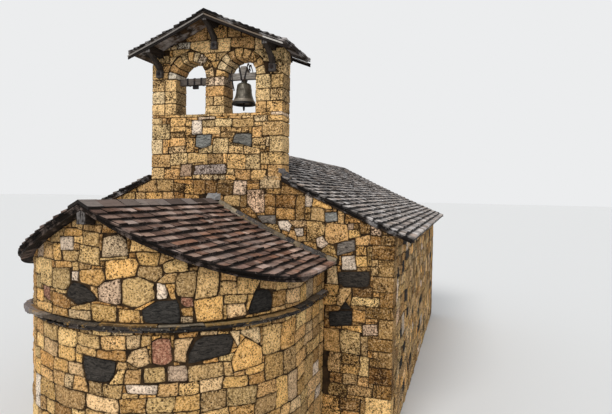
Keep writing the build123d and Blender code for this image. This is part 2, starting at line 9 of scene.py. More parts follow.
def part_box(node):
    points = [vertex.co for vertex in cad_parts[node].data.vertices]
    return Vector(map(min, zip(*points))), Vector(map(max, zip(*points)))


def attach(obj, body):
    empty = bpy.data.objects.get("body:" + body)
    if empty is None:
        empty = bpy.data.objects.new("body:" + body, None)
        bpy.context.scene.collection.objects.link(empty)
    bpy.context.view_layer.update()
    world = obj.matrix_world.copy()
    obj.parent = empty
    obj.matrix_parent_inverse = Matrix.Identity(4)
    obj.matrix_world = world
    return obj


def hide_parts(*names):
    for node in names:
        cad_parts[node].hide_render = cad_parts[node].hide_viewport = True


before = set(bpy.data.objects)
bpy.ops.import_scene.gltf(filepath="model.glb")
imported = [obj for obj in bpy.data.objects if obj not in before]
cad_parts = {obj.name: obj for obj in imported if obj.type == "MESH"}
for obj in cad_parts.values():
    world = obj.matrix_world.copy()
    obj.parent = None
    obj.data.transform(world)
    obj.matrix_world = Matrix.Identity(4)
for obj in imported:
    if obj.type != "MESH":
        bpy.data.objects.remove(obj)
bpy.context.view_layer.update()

# Camera: it stands in front of the apse, to the right, a little above the apse's ridge, and looks
# slightly down.
eye = Vector((5.412, -14.459, 5.150))
yaw, pitch, roll = radians(17.63), radians(-1.70), radians(1.03)
focal_in_pixels, picture_width = 506.873, 612
look = Vector((-sin(yaw) * cos(pitch), cos(yaw) * cos(pitch), sin(pitch)))
level_right = Vector((cos(yaw), sin(yaw), 0))
level_up = level_right.cross(look)
right = level_right * cos(roll) + level_up * sin(roll)
up = level_up * cos(roll) - level_right * sin(roll)
bpy.ops.object.camera_add(location=eye)
camera = bpy.context.object
camera.matrix_world = Matrix((
    (right.x, up.x, -look.x, eye.x),
    (right.y, up.y, -look.y, eye.y),
    (right.z, up.z, -look.z, eye.z),
    (0, 0, 0, 1),
))
camera.data.sensor_width = 36
camera.data.lens = focal_in_pixels / picture_width * camera.data.sensor_width
camera.data.clip_end = 1000
bpy.context.scene.camera = camera


# Studio: a wide pale floor, an even pale surround and one large soft lamp from the front left,
# as under a bright overcast sky.
def paint(red, green, blue):
    """A colour given as 0 to 255, in the renderer's linear values."""
    return tuple(((part / 255 + 0.055) / 1.055) ** 2.4 for part in (red, green, blue)) + (1,)


def feed(tree, socket, value):
    """Links another node's output to a socket, or sets the socket to a plain value."""
    if isinstance(value, bpy.types.NodeSocket):
        tree.links.new(value, socket)
    else:
        socket.default_value = value


def put(tree, kind, **settings):
    """Adds a shader node. Capital names are sockets, with _ for a space; small ones are its settings."""
    made = tree.nodes.new(kind)
    for name, value in settings.items():
        if name[0].isupper():
            feed(tree, made.inputs[name.replace("_", " ")], value)
        else:
            setattr(made, name, value)
    return made


def sums(tree, operation, first, second):
    """Arithmetic on two values."""
    made = put(tree, "ShaderNodeMath", operation=operation)
    feed(tree, made.inputs[0], first)
    feed(tree, made.inputs[1], second)
    return made.outputs[0]


def blank_material(name):
    """A material with only its output node, which is returned with it."""
    material = bpy.data.materials.new(name)
    material.use_nodes = True
    material.node_tree.nodes.clear()
    return material, material.node_tree, material.node_tree.nodes.new("ShaderNodeOutputMaterial")


floor_size, floor_colour = 600, paint(226, 225, 222)
bpy.ops.mesh.primitive_plane_add(size=floor_size, location=(0, 0, -0.002))
floor = bpy.context.object
floor.name = "studio_floor"
floor_material, tree, out = blank_material("studio_floor")
matt = put(tree, "ShaderNodeBsdfPrincipled", Base_Color=floor_colour, Roughness=0.9)
tree.links.new(matt.outputs[0], out.inputs["Surface"])
floor.data.materials.append(floor_material)

world = bpy.data.worlds.new("studio")
bpy.context.scene.world = world
world.use_nodes = True
tree = world.node_tree
tree.nodes.clear()
surround = put(tree, "ShaderNodeBackground", Color=paint(236, 240, 246), Strength=0.72)
seen = put(tree, "ShaderNodeBackground", Color=paint(236, 237, 238), Strength=1.0)
rays = put(tree, "ShaderNodeLightPath").outputs
mirrored = sums(tree, "MAXIMUM", rays["Is Glossy Ray"], rays["Is Transmission Ray"])
which = put(tree, "ShaderNodeMixShader", Fac=sums(tree, "MAXIMUM", rays["Is Camera Ray"], mirrored))
tree.links.new(surround.outputs[0], which.inputs[1])
tree.links.new(seen.outputs[0], which.inputs[2])
out = put(tree, "ShaderNodeOutputWorld")
tree.links.new(which.outputs[0], out.inputs["Surface"])

bpy.ops.object.light_add(type="SUN", rotation=(radians(48), radians(8), radians(-14)))
lamp = bpy.context.object
lamp.data.energy = 1.9
lamp.data.angle = radians(28)
bpy.context.scene.view_settings.view_transform = "Standard"


# Mortar: the walls themselves, which show only as dark raked joints between the stones. They stay the
# frame's own nodes and get a material.
def object_places(tree, scale=(1, 1, 1)):
    """Object coordinates, stretched."""
    places = put(tree, "ShaderNodeTexCoord")
    return put(tree, "ShaderNodeMapping", Vector=places.outputs["Object"], Scale=scale).outputs[0]


def clouds(tree, places, scale, detail, **settings):
    """Cloudy noise between 0 and 1 at some places."""
    made = put(tree, "ShaderNodeTexNoise", Vector=places, Scale=scale, Detail=detail, **settings)
    return made.outputs[0]


def grey(level):
    return (level, level, level, 1)


def mix(tree, amount, first, second, blend="MIX"):
    """Mixes two colours. Sockets 0, 6 and 7 of the node are its amount and the two colours."""
    made = put(tree, "ShaderNodeMix", data_type="RGBA", blend_type=blend)
    for socket, value in ((0, amount), (6, first), (7, second)):
        feed(tree, made.inputs[socket], value)
    return made.outputs[2]


def shaded(tree, colour, amount, dark, light):
    """A colour times a mix of a dark and a light one."""
    return mix(tree, 1.0, colour, mix(tree, amount, dark, light), "MULTIPLY")


def own_tint(tree):
    """The colour that each stone, slate or board has of its own, and its share as Alpha."""
    return put(tree, "ShaderNodeAttribute", attribute_name="tint").outputs


def spread(tree, value, low, high, to_low=0.0, to_high=1.0):
    """Stretches a value from one range to another."""
    return put(
        tree, "ShaderNodeMapRange", Value=value, From_Min=low, From_Max=high, To_Min=to_low, To_Max=to_high
    ).outputs[0]


def finished(name, colour, roughness, height=None, depth=0.01, strength=1.0, **shader):
    """Ends a material: a shader with its colour, roughness and bump."""
    material, tree, out = blank_material(name)
    made = put(tree, "ShaderNodeBsdfPrincipled", **{"Specular_IOR_Level": 0.15, **shader})
    feed(tree, made.inputs["Base Color"], colour(tree))
    feed(tree, made.inputs["Roughness"], roughness)
    if height:
        bump = put(tree, "ShaderNodeBump", Height=height(tree), Distance=depth, Strength=strength)
        tree.links.new(bump.outputs[0], made.inputs["Normal"])
    tree.links.new(made.outputs[0], out.inputs["Surface"])
    return material


def mortar_colour(tree):
    places = object_places(tree)
    cloud = clouds(tree, places, 9.0, 5.0)
    return mix(tree, spread(tree, cloud, 0.35, 0.65), paint(32, 23, 14), paint(66, 49, 30))


def mortar_height(tree):
    return clouds(tree, object_places(tree), 60.0, 4.0)


def cover(names, material):
    """Gives some of the frame's own nodes a material."""
    for name in names:
        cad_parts[name].data.materials.clear()
        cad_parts[name].data.materials.append(material)


mortar = finished("mortar", mortar_colour, 0.95, mortar_height, depth=0.006)
cover([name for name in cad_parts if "wall" in name or "gable" in name or "pier" in name], mortar)


# Rubble: ochre limestone full of small pits, with scattered dark slate, red and cream stones, laid in
# uneven lifts. Each stone is a squared, rough-topped solid bedded in the mortar. All are modelled by
# the same few functions from their outlines on the wall's face.
joint_width = 0.015
stone_depth = 0.015
ochre, golden, tan, sand = (226, 184, 120), (222, 172, 102), (208, 164, 106), (240, 200, 146)
cream, pink, umber, greyish = (240, 216, 190), (216, 182, 150), (182, 136, 78), (204, 174, 136)
chip_stones = (tan, umber, umber, golden, (158, 120, 72))
slate_dark, slate_grey, brick_red, blue_grey = (50, 47, 44), (118, 110, 102), (166, 114, 90), (120, 121, 118)
light_stones = [ochre] * 36 + [golden] * 18 + [tan] * 28 + [sand] * 10 + [umber] * 10 + [greyish] * 2
light_stones += [cream] + [pink] * 2
warm_stones = [ochre] * 9 + [golden] * 15 + [tan] * 22 + [umber] * 38 + [(152, 110, 60)] * 12 + [sand] * 3
warm_stones += [pink] * 3
side_stones = light_stones + [slate_dark] * 7 + [(150, 110, 62)] * 5 + [sand] * 16 + [cream]
# The tower's stones: a lighter copy of the ochre ones, painted as if lit more strongly than the walls.
painted_sunlit_stones = [(250, 208, 144)] * 30 + [(244, 194, 124)] * 28 + [(252, 214, 158)] * 16
painted_sunlit_stones += [(220, 172, 110)] * 16 + [(250, 232, 204)] * 2 + [(238, 208, 174)] * 3
brown_stones = [(176, 136, 82)] * 30 + [(158, 116, 62)] * 30 + [(136, 98, 50)] * 24 + [ochre] * 8 + [sand] * 2


def sides_of(outline):
    """The sides of an outline, each as its two ends."""
    return list(zip(outline, outline[1:] + outline[:1]))


def girth(outline):
    """Length of the way round an outline."""
    return sum(hypot(b[0] - a[0], b[1] - a[1]) for a, b in sides_of(outline))


def trim(outline, point, outward):
    """The part of an outline behind a line through a point; what lies on its outward side goes."""
    kept = []
    for here, there in sides_of(outline):
        first = (here[0] - point[0]) * outward[0] + (here[1] - point[1]) * outward[1]
        second = (there[0] - point[0]) * outward[0] + (there[1] - point[1]) * outward[1]
        if first <= 0:
            kept.append(here)
        if first * second < 0:
            share = first / (first - second)
            kept.append((here[0] + (there[0] - here[0]) * share, here[1] + (there[1] - here[1]) * share))
    return kept


def measure(outline):
    """Area and middle of an outline."""
    area = middle_x = middle_z = 0
    for (x0, z0), (x1, z1) in sides_of(outline):
        cross = x0 * z1 - x1 * z0
        area += cross / 2
        middle_x += (x0 + x1) * cross / 6
        middle_z += (z0 + z1) * cross / 6
    if abs(area) < 1e-7:
        return 0, (0, 0)
    return area, (middle_x / area, middle_z / area)


def middle_of(outline):
    return measure(outline)[1]


least_area, least_stoutness = 0.0032, 0.0145


def worth_laying(outline):
    """Whether an outline is large and stout enough for a stone."""
    if len(outline) < 3:
        return False
    area = measure(outline)[0]
    return area > least_area and area / girth(outline) > least_stoutness


def stout(cells):
    """The cells that are worth laying."""
    return [(outline, tint) for outline, tint in cells if worth_laying(outline)]


def stretched_round(outline):
    """The outline with its hollows filled, counter-clockwise."""
    spots = sorted(outline)
    made = []
    for run in (spots, spots[::-1]):
        side = []
        for x, z in run:
            while len(side) > 1:
                (ax, az), (bx, bz) = side[-2:]
                if (bx - ax) * (z - az) - (bz - az) * (x - ax) > 0:
                    break
                side.pop()
            side.append((x, z))
        made += side[:-1]
    return made


def carve(cells, hole):
    """Cuts a hole out of the cells. What is left of a cell stays in parts, as far as they are big enough."""
    hole = stretched_round(hole)
    low = [min(corner[axis] for corner in hole) for axis in (0, 1)]
    high = [max(corner[axis] for corner in hole) for axis in (0, 1)]
    left = []
    for outline, tint in cells:
        far = any(
            max(corner[axis] for corner in outline) < low[axis]
            or min(corner[axis] for corner in outline) > high[axis]
            for axis in (0, 1)
        )
        if far:
            left.append((outline, tint))
            continue
        inner = outline
        for here, there in sides_of(hole):
            inner = trim(inner, here, (there[1] - here[1], here[0] - there[0]))
            if len(inner) < 3:
                break
        if len(inner) < 3 or measure(inner)[0] < 1e-4:
            left.append((outline, tint))
            continue
        rest, sides = outline, sides_of(hole)
        while sides:
            outside = []
            for here, there in sides:
                piece = trim(rest, here, (here[1] - there[1], there[0] - here[0]))
                outside.append(measure(piece)[0] if len(piece) > 2 else 0)
            best = outside.index(max(outside))
            here, there = sides.pop(best)
            piece = trim(rest, here, (here[1] - there[1], there[0] - here[0]))
            rest = trim(rest, here, (there[1] - here[1], here[0] - there[0]))
            if not worth_laying(piece):
                break
            left.append((piece, tint))
            if len(rest) < 3:
                break
    return left


def box_outline(x0, x1, z0, z1):
    return [(x0, z0), (x1, z0), (x1, z1), (x0, z1)]


def lay_courses(start, end, foot, top, dice, coursed=False):
    """Fills a stretch of wall with cells, lift by lift. A lift has single stones and split ones."""
    cells = []
    phase = [dice.uniform(0, 2 * pi) for _ in range(6)]
    sway = 0.6 if coursed else 1.0

    def bent(x, z):
        drop = 0.026 * sin(2.3 * x + phase[0] + 0.7 * z) + 0.014 * sin(5.9 * x + phase[1] + 1.9 * z)
        drop += 0.009 * sin(17.0 * x + 4.0 * z + phase[2])
        lean = 0.018 * sin(4.1 * z + phase[3] + 1.3 * x) + 0.016 * sin(9.0 * z + phase[4] + 5.1 * x)
        lean += 0.010 * sin(21.0 * z + 8.0 * x + phase[5])
        return (x + lean * sway, z + drop * sway)

    def stone(x0, x1, z0, z1):
        along = [x0 + (x1 - x0) * part / 3 for part in range(4)]
        rise = [z0 + (z1 - z0) * part / 2 for part in range(3)]
        edge = [(x, z0) for x in along[:-1]] + [(x1, z) for z in rise[:-1]]
        edge += [(x, z1) for x in along[:0:-1]] + [(x0, z) for z in rise[:0:-1]]
        cells.append(([bent(x, z) for x, z in edge], None))

    def row(x0, x1, z0, z1):
        count = max(1, round((x1 - x0) / dice.uniform(0.30, 0.52)))
        cuts = [x0] + [
            x0 + (x1 - x0) * (part + dice.uniform(-0.18, 0.18)) / count for part in range(1, count)
        ]
        for left, far in zip(cuts, cuts[1:] + [x1]):
            stone(left, far, z0, z1)

    z = foot - dice.uniform(0, 0.15)
    while z < top:
        lift = dice.uniform(0.24, 0.35) if coursed else dice.uniform(0.40, 0.54)
        x = start - dice.uniform(0, 0.3)
        while x < end:
            pattern = dice.random()
            split = z + lift * dice.uniform(0.40, 0.60)
            if pattern < (0.80 if coursed else 0.24):
                wide = dice.uniform(0.30, 0.58)
                stone(x, x + wide, z, z + lift)
            elif coursed or pattern < 0.74:
                wide = dice.uniform(0.40, 0.95)
                row(x, x + wide, z, split)
                row(x, x + wide, split, z + lift)
            else:
                tall, wide = dice.uniform(0.24, 0.36), dice.uniform(0.56, 0.84)
                if dice.random() < 0.5:
                    stone(x, x + tall, z, z + lift)
                    row(x + tall, x + wide, z, split)
                    row(x + tall, x + wide, split, z + lift)
                else:
                    row(x, x + wide - tall, z, split)
                    row(x, x + wide - tall, split, z + lift)
                    stone(x + wide - tall, x + wide, z, z + lift)
            x += wide
        z += lift
    return cells


class Stones:
    """Gathers vertices and faces of many stones, with each one's colour and a share for its material."""

    def __init__(self):
        self.points, self.faces, self.tints, self.count = [], [], [], 0

    def add(self, points, faces, tint, share, shade=1.0):
        points[:, 2] = np.maximum(points[:, 2], 0)
        colours = np.empty((len(points), 4))
        colours[:, :3] = np.array(paint(*tint)[:3]) * np.reshape(shade, (-1, 1))
        colours[:, 3] = share
        self.points.append(points)
        self.faces += [tuple(self.count + corner for corner in face) for face in faces]
        self.tints.append(colours)
        self.count += len(points)

    def piece(self, name, material, slot, body="chapel", replaced=(), smooth=True):
        mesh = bpy.data.meshes.new(name)
        mesh.from_pydata(np.concatenate(self.points).tolist(), [], self.faces)
        layer = mesh.color_attributes.new("tint", "FLOAT_COLOR", "POINT")
        layer.data.foreach_set("color", np.concatenate(self.tints).astype(np.float32).ravel())
        made = bpy.data.objects.new(name, mesh)
        bpy.context.scene.collection.objects.link(made)
        if smooth:
            bpy.ops.object.select_all(action="DESELECT")
            made.select_set(True)
            bpy.context.view_layer.objects.active = made
            bpy.ops.object.shade_smooth_by_angle(angle=radians(34))
        made.data.materials.append(material)
        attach(made, body)
        if replaced:
            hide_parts(*replaced)


def tinted(tint, dice, range_=0.11):
    """A colour with a small random change of lightness and warmth."""
    light = min(1 + dice.uniform(-range_, range_), 250 / max(tint))
    warmth = dice.uniform(-0.025, 0.025)
    return tuple(min(255, part * light * (1 + warmth * way)) for part, way in zip(tint, (1, 0, -1)))


def pitting(tint, dice):
    """How pitted a stone of a colour is: slate hardly, limestone a lot."""
    if tint in (slate_dark, slate_grey, blue_grey):
        return dice.uniform(0.0, 0.08)
    if tint in (cream, brick_red):
        return dice.uniform(0.3, 0.5)
    return dice.uniform(0.45, 1.0)


def lay_stone(stones, outline, tint, place, dice, palette, wear=1.0):
    """Models one stone on its outline: rings from inside the mortar, over a worn edge, to a rough face."""
    area, middle = measure(outline)
    tint = tint or dice.choice(palette if area > 0.016 else chip_stones)
    around = girth(outline)
    edge = []
    for a, b in sides_of(outline):
        steps = max(1, round(hypot(b[0] - a[0], b[1] - a[1]) / around * 18))
        edge += [
            (a[0] + (b[0] - a[0]) * step / steps, a[1] + (b[1] - a[1]) * step / steps)
            for step in range(steps)
        ]
    edge = np.array(edge) - middle
    noise = np.random.RandomState(dice.randrange(1 << 30))
    edge = 0.76 * edge + 0.12 * (np.roll(edge, 1, axis=0) + np.roll(edge, -1, axis=0))
    edge = edge + noise.normal(0, 0.0028, edge.shape)
    reach = np.hypot(edge[:, 0], edge[:, 1])
    size = sqrt(area)
    proud = dice.uniform(0.6, 1.5) * stone_depth
    tilt = (dice.uniform(-0.03, 0.03), dice.uniform(-0.03, 0.03))
    rings, shades = [], []
    shoulder = min(0.034, 0.13 * size)
    # The shades paint the sides that go down into the joint darker, as shade in the joints, and the middle of
    # the face a touch lighter, as a faint painted highlight.
    for inset, lift, rough, shade in (
        (joint_width * 0.40, -0.012, 0, 0.35),
        (joint_width * 0.48, proud * 0.30, 0.001, 0.42),
        (joint_width * 0.50 + 0.006, proud * 0.74, 0.0015, 0.70),
        (joint_width * 0.50 + shoulder, proud * 1.05, 0.0035, 1.0),
        (None, proud * 1.20, 0.0055, 1.05),
    ):
        scale = np.full(len(edge), 0.52) if inset is None else np.maximum(0.3, 1 - inset / reach)
        flat = edge * scale[:, None] * (1 + noise.uniform(-1, 1, (len(edge), 1)) * (0.03 if rough else 0))
        height = lift + noise.normal(0, 1, len(edge)) * rough
        if lift > 0:
            height = height + flat[:, 0] * tilt[0] + flat[:, 1] * tilt[1]
        rings.append(np.column_stack((flat, height)))
        shades += [shade] * len(edge)
    points = np.concatenate(rings + [[(0, 0, proud * 1.20 + noise.normal(0, 0.005))], [(0, 0, -0.012)]])
    count = len(edge)
    faces = []
    for ring in range(len(rings) - 1):
        for step in range(count):
            ahead = (step + 1) % count
            base = ring * count
            faces.append((base + step, base + ahead, base + count + ahead, base + count + step))
    last, top = (len(rings) - 1) * count, len(rings) * count
    faces += [(last + step, last + (step + 1) % count, top) for step in range(count)]
    faces += [((step + 1) % count, step, top + 1) for step in range(count)]
    placed = place(points[:, 0] + middle[0], points[:, 1] + middle[1], points[:, 2])
    stones.add(placed, faces, tinted(tint, dice, 0.17), pitting(tint, dice) * wear, shades + [1.05, 0.35])


def flat_face(origin, along, outward):
    """Maps places on a wall's face, and heights above it, into the room."""
    origin, along, outward = (np.array(value, float) for value in (origin, along, outward))

    def place(across, height, proud):
        spot = origin + np.outer(across, along) + np.outer(proud, outward)
        spot[:, 2] += height
        return spot

    return place


def lay_cells(name, cells, place, dice, palette, wear=1.0):
    stones = Stones()
    for outline, tint in cells:
        if worth_laying(outline):
            lay_stone(stones, outline, tint, place, dice, palette, wear)
    stones.piece(name, stone_material, "masonry")


def new_group(name, takes, gives):
    """A node group that takes places and numbers and gives numbers."""
    group = bpy.data.node_groups.new(name, "ShaderNodeTree")
    for way, labels in (("INPUT", takes), ("OUTPUT", gives)):
        for label in labels:
            kind = "NodeSocketVector" if label == "Places" else "NodeSocketFloat"
            group.interface.new_socket(name=label, in_out=way, socket_type=kind)
    return group, group.nodes.new("NodeGroupInput").outputs, group.nodes.new("NodeGroupOutput").inputs


def pits_group():
    """Dark pits, pale grains and a mottled tone, for any stone. Pitting says how many pits there are."""
    gives = ("Pits", "Grains", "Tone", "Height")
    group, given, wanted = new_group("pitted_stone", ("Places", "Pitting"), gives)
    places, pitting_in = given["Places"], given["Pitting"]
    patch = clouds(group, places, 3.4, 3.0)
    often = sums(group, "MULTIPLY", spread(group, patch, 0.34, 0.60, 0.35, 1.0), pitting_in)
    ragged = clouds(group, places, 70.0, 4.0, Roughness=0.7)
    pits = 0.0
    for scale, widest in ((16.0, 0.34), (31.0, 0.42), (60.0, 0.46)):
        spots = put(group, "ShaderNodeTexVoronoi", Vector=places, Scale=scale)
        lot = put(group, "ShaderNodeSeparateColor", Color=spots.outputs["Color"]).outputs[0]
        chance = sums(group, "SUBTRACT", sums(group, "ADD", lot, often), 0.46)
        radius = sums(group, "MULTIPLY", chance, widest)
        away = sums(group, "ADD", spots.outputs["Distance"], spread(group, ragged, 0.3, 0.7, -0.15, 0.15))
        mask = spread(group, sums(group, "SUBTRACT", radius, away), -0.01, 0.06)
        pits = sums(group, "MAXIMUM", mask, pits)
    grit = clouds(group, places, 30.0, 6.0, Roughness=0.7)
    broad = clouds(group, places, 5.0, 6.0, Roughness=0.65)
    tone = sums(
        group, "MULTIPLY",
        spread(group, broad, 0.3, 0.7, 0.74, 1.18),
        spread(group, grit, 0.36, 0.56, 0.38, 1.30),
    )
    grains = spread(group, grit, 0.52, 0.66, 0.0, 0.75)
    pit_depth = 1.3
    height = sums(
        group, "SUBTRACT",
        spread(group, grit, 0.3, 0.7, 0.0, 1.0),
        sums(group, "MULTIPLY", pits, pit_depth),
    )
    for label, value in (("Pits", pits), ("Grains", grains), ("Tone", tone), ("Height", height)):
        group.links.new(value, wanted[label])
    return group


pitted_stone = pits_group()


def use_group(tree, group, **inputs):
    """Puts a node group into a material."""
    made = tree.nodes.new("ShaderNodeGroup")
    made.node_tree = group
    for name, value in inputs.items():
        feed(tree, made.inputs[name], value)
    return made.outputs


def stone_finish():
    """Material of all the stones: each one's own colour, toned, with its pits."""
    material, tree, out = blank_material("rubble_stone")
    tint = own_tint(tree)
    effect = use_group(tree, pitted_stone, Places=object_places(tree), Pitting=tint["Alpha"])
    toned = mix(tree, 1.0, tint["Color"], effect["Tone"], "MULTIPLY")
    grainy = mix(tree, effect["Grains"], toned, mix(tree, 0.55, tint["Color"], paint(255, 228, 186)))
    stained = mix(tree, spread(tree, effect["Tone"], 0.40, 0.70, 0.60, 0.0), grainy, paint(92, 64, 32))
    hollow = sums(tree, "MULTIPLY", effect["Pits"], spread(tree, tint["Alpha"], 0.2, 0.9, 0.80, 0.96))
    limestone = mix(tree, hollow, stained, paint(52, 32, 12))
    cleft = clouds(tree, object_places(tree, (2, 2, 7)), 4.0, 9.0, Roughness=0.75, Distortion=1.2)
    slaty = shaded(tree, tint["Color"], spread(tree, cleft, 0.38, 0.62), grey(0.22), (2.3, 2.2, 2.05, 1))
    is_slate = spread(tree, tint["Alpha"], 0.12, 0.09)
    colour = mix(tree, is_slate, limestone, slaty)
    cleft_depth = 3.0
    clefts = sums(tree, "MULTIPLY", sums(tree, "MULTIPLY", cleft, is_slate), cleft_depth)
    height = sums(tree, "ADD", effect["Height"], clefts)
    shader = put(tree, "ShaderNodeBsdfPrincipled", Base_Color=colour, Roughness=0.9, Specular_IOR_Level=0.15)
    bump = put(tree, "ShaderNodeBump", Height=height, Distance=0.014, Strength=1.0)
    tree.links.new(bump.outputs[0], shader.inputs["Normal"])
    tree.links.new(shader.outputs[0], out.inputs["Surface"])
    return material


stone_material = stone_finish()


# Nave walls: uneven lifts between large squared corner stones, which are laid long and short by turns.
# The wall under the front gable meets the apse roof and runs up to the foot of the bell gable.
def corners_of(name):
    low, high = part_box(name)
    return [float(value) for value in low], [float(value) for value in high]


def roof_of(node, sag, depth):
    """A slope's ridge and eave heights, reach, sag and depth, as a cross-section of its node gives them."""
    low, high = corners_of(node)
    return (high[2], low[2] + depth, max(abs(low[0]), abs(high[0])), sag, depth)


def roof_top(roof, x):
    """Height of a slope's top surface at x."""
    ridge, eave, reach, sag = roof[:4]
    share = abs(x) / reach
    return ridge - (ridge - eave) * share - 4 * sag * share * (1 - share)


def fall(roof, x):
    """How steeply a slope falls at x, towards its eave."""
    ridge, eave, reach, sag = roof[:4]
    return (ridge - eave) / reach + 4 * sag * (1 - 2 * abs(x) / reach) / reach


nave_sag, apse_sag, bell_sag = 0.055, 0.080, 0.020
slope_depth, bell_slope_depth = 0.110, 0.075
nave_roof = roof_of("nave_roof_right", nave_sag, slope_depth)
apse_roof = roof_of("apse_roof_right", apse_sag, slope_depth)
bell_roof = roof_of("bell_roof_right", bell_sag, bell_slope_depth)
nave_half = corners_of("nave_wall_right")[1][0]
east_y = corners_of("east_wall_head")[0][1]
east_back = corners_of("east_wall_head")[1][1]
west_y = corners_of("west_gable")[1][1]
tower_half = corners_of("bell_gable_base")[1][0]
tower_foot = corners_of("bell_gable_base")[0][2]
apse_radius = -corners_of("apse_wall_left_side")[0][0]
apse_centre = corners_of("apse_wall_left_side")[0][1]
drip_top = corners_of("apse_drip_course")[1][2] - roof_top(apse_roof, 0.19)


roof_clearance = 0.004


def along_roof(roof, cells, level, way):
    """Trims cells along a roof, at a level worked out from its top: below it for way 1, above for -1."""
    kept = []
    for outline, tint in cells:
        middle = middle_of(outline)[0]
        slope = fall(roof, middle) * (1 if middle > 0 else -1)
        kept.append((trim(outline, (middle, level(roof_top(roof, middle))), (way * slope, way)), tint))
    return stout(kept)


def under(roof, cells):
    """Trims cells to a roof's underside."""
    return along_roof(roof, cells, lambda top: top - roof[4] - roof_clearance, 1)


def over(roof, cells, rise):
    """Trims cells to what stands above a roof."""
    return along_roof(roof, cells, lambda top: top + rise, -1)


def between(cells, low, high, axis=0):
    """Trims cells to a band along x or z."""
    kept = []
    for outline, tint in cells:
        for edge, way in ((low, -1), (high, 1)):
            point, outward = [0, 0], [0, 0]
            point[axis], outward[axis] = edge, way
            if len(outline) > 2:
                outline = trim(outline, point, outward)
        kept.append((outline, tint))
    return stout(kept)


def chosen(cells, stones):
    """Beds particular stones, each with its colour and outline, among the cells."""
    for tint, outline in stones:
        cells = carve(cells, outline) + [(outline, tint)]
    return cells


def rough_block(
    stones, low, high, tint, dice, place=None, round_off=0.014, rough=0.0045, palette=warm_stones, reveal_shade=1.0
):
    """A squared stone with rounded edges between two corners, its faces slightly uneven."""
    low, high = np.array(low, float), np.array(high, float)
    round_off = min(round_off, 0.4 * float((high - low).min()))
    middle, half = (low + high) / 2, (high - low) / 2
    stations = np.array([[-side, -side + round_off, 0, side - round_off, side] for side in half])
    grid = np.array([[stations[axis][index[axis]] for axis in range(3)] for index in block_points])
    core = np.clip(grid, -(half - round_off), half - round_off)
    way = grid - core
    length = np.linalg.norm(way, axis=1, keepdims=True)
    noise = np.random.RandomState(dice.randrange(1 << 30))
    points = core + way / np.maximum(length, 1e-9) * np.minimum(length, round_off)
    points = points + middle + noise.normal(0, rough, points.shape)
    if place:
        points = place(points)
    # Painted shade: the rounded edges and corners are darker, and the faces that look along x are darkened by
    # the reveal factor, for the shade in the openings' reveals.
    shades = [
        (0.6 if sum(station in (0, 4) for station in index) > 1 else 1.0)
        * (reveal_shade if index[0] in (0, 4) else 1.0)
        for index in block_points
    ]
    colour = tinted(tint or dice.choice(palette), dice)
    stones.add(points, block_faces, colour, pitting(tint or ochre, dice), shades)


block_points = [
    (i, j, k) for i in range(5) for j in range(5) for k in range(5) if {0, 4} & {i, j, k}
]
block_index = {point: number for number, point in enumerate(block_points)}
block_faces = []
for axis in range(3):
    for side in (0, 4):
        for first in range(4):
            for second in range(4):
                ring = []
                for a, b in ((0, 0), (1, 0), (1, 1), (0, 1)):
                    corner = [0, 0, 0]
                    corner[axis] = side
                    corner[(axis + 1) % 3] = first + a
                    corner[(axis + 2) % 3] = second + b
                    ring.append(block_index[tuple(corner)])
                block_faces.append(tuple(ring if side else ring[::-1]))

proud = 0.016
nave_eave_line = roof_top(nave_roof, nave_half) - nave_roof[4]
corner_stones = Stones()
corner_dice = Random(5)
corner_places = {}
for side_x in (-1, 1):
    for side_y, face_y in ((-1, east_y), (1, west_y)):
        z, turn, spans = 0.0, 0, []
        while z < nave_eave_line - 0.12:
            tall = min(corner_dice.uniform(0.24, 0.40), nave_eave_line - z)
            along_x, along_y = ((0.46, 0.28), (0.28, 0.44))[turn % 2]
            along_x += corner_dice.uniform(-0.06, 0.08)
            along_y += corner_dice.uniform(-0.05, 0.05)
            xs = sorted((side_x * (nave_half + proud), side_x * (nave_half - along_x)))
            ys = sorted((face_y + side_y * proud, face_y - side_y * along_y))
            gap = joint_width / 2
            low, high = (xs[0], ys[0], max(0.002, z + gap)), (xs[1], ys[1], z + tall - gap)
            rough_block(corner_stones, low, high, corner_dice.choice(brown_stones), corner_dice)
            spans.append((z, z + tall, along_x, along_y))
            z += tall
            turn += 1
        corner_places[(side_x, side_y)] = spans
corner_stones.piece("nave_corner_stones", stone_material, "masonry")


def cut_corners(cells, left, right, reach, ends):
    """Leaves room for the corner stones at both ends of a face."""
    for edge, way, spans in ((left, 1, ends[0]), (right, -1, ends[1])):
        for z0, z1, along_x, along_y in spans:
            inner = edge + way * (along_x, along_y)[reach]
            outer = edge - way * 0.5
            cells = carve(cells, box_outline(min(inner, outer), max(inner, outer), z0, z1))
    return cells


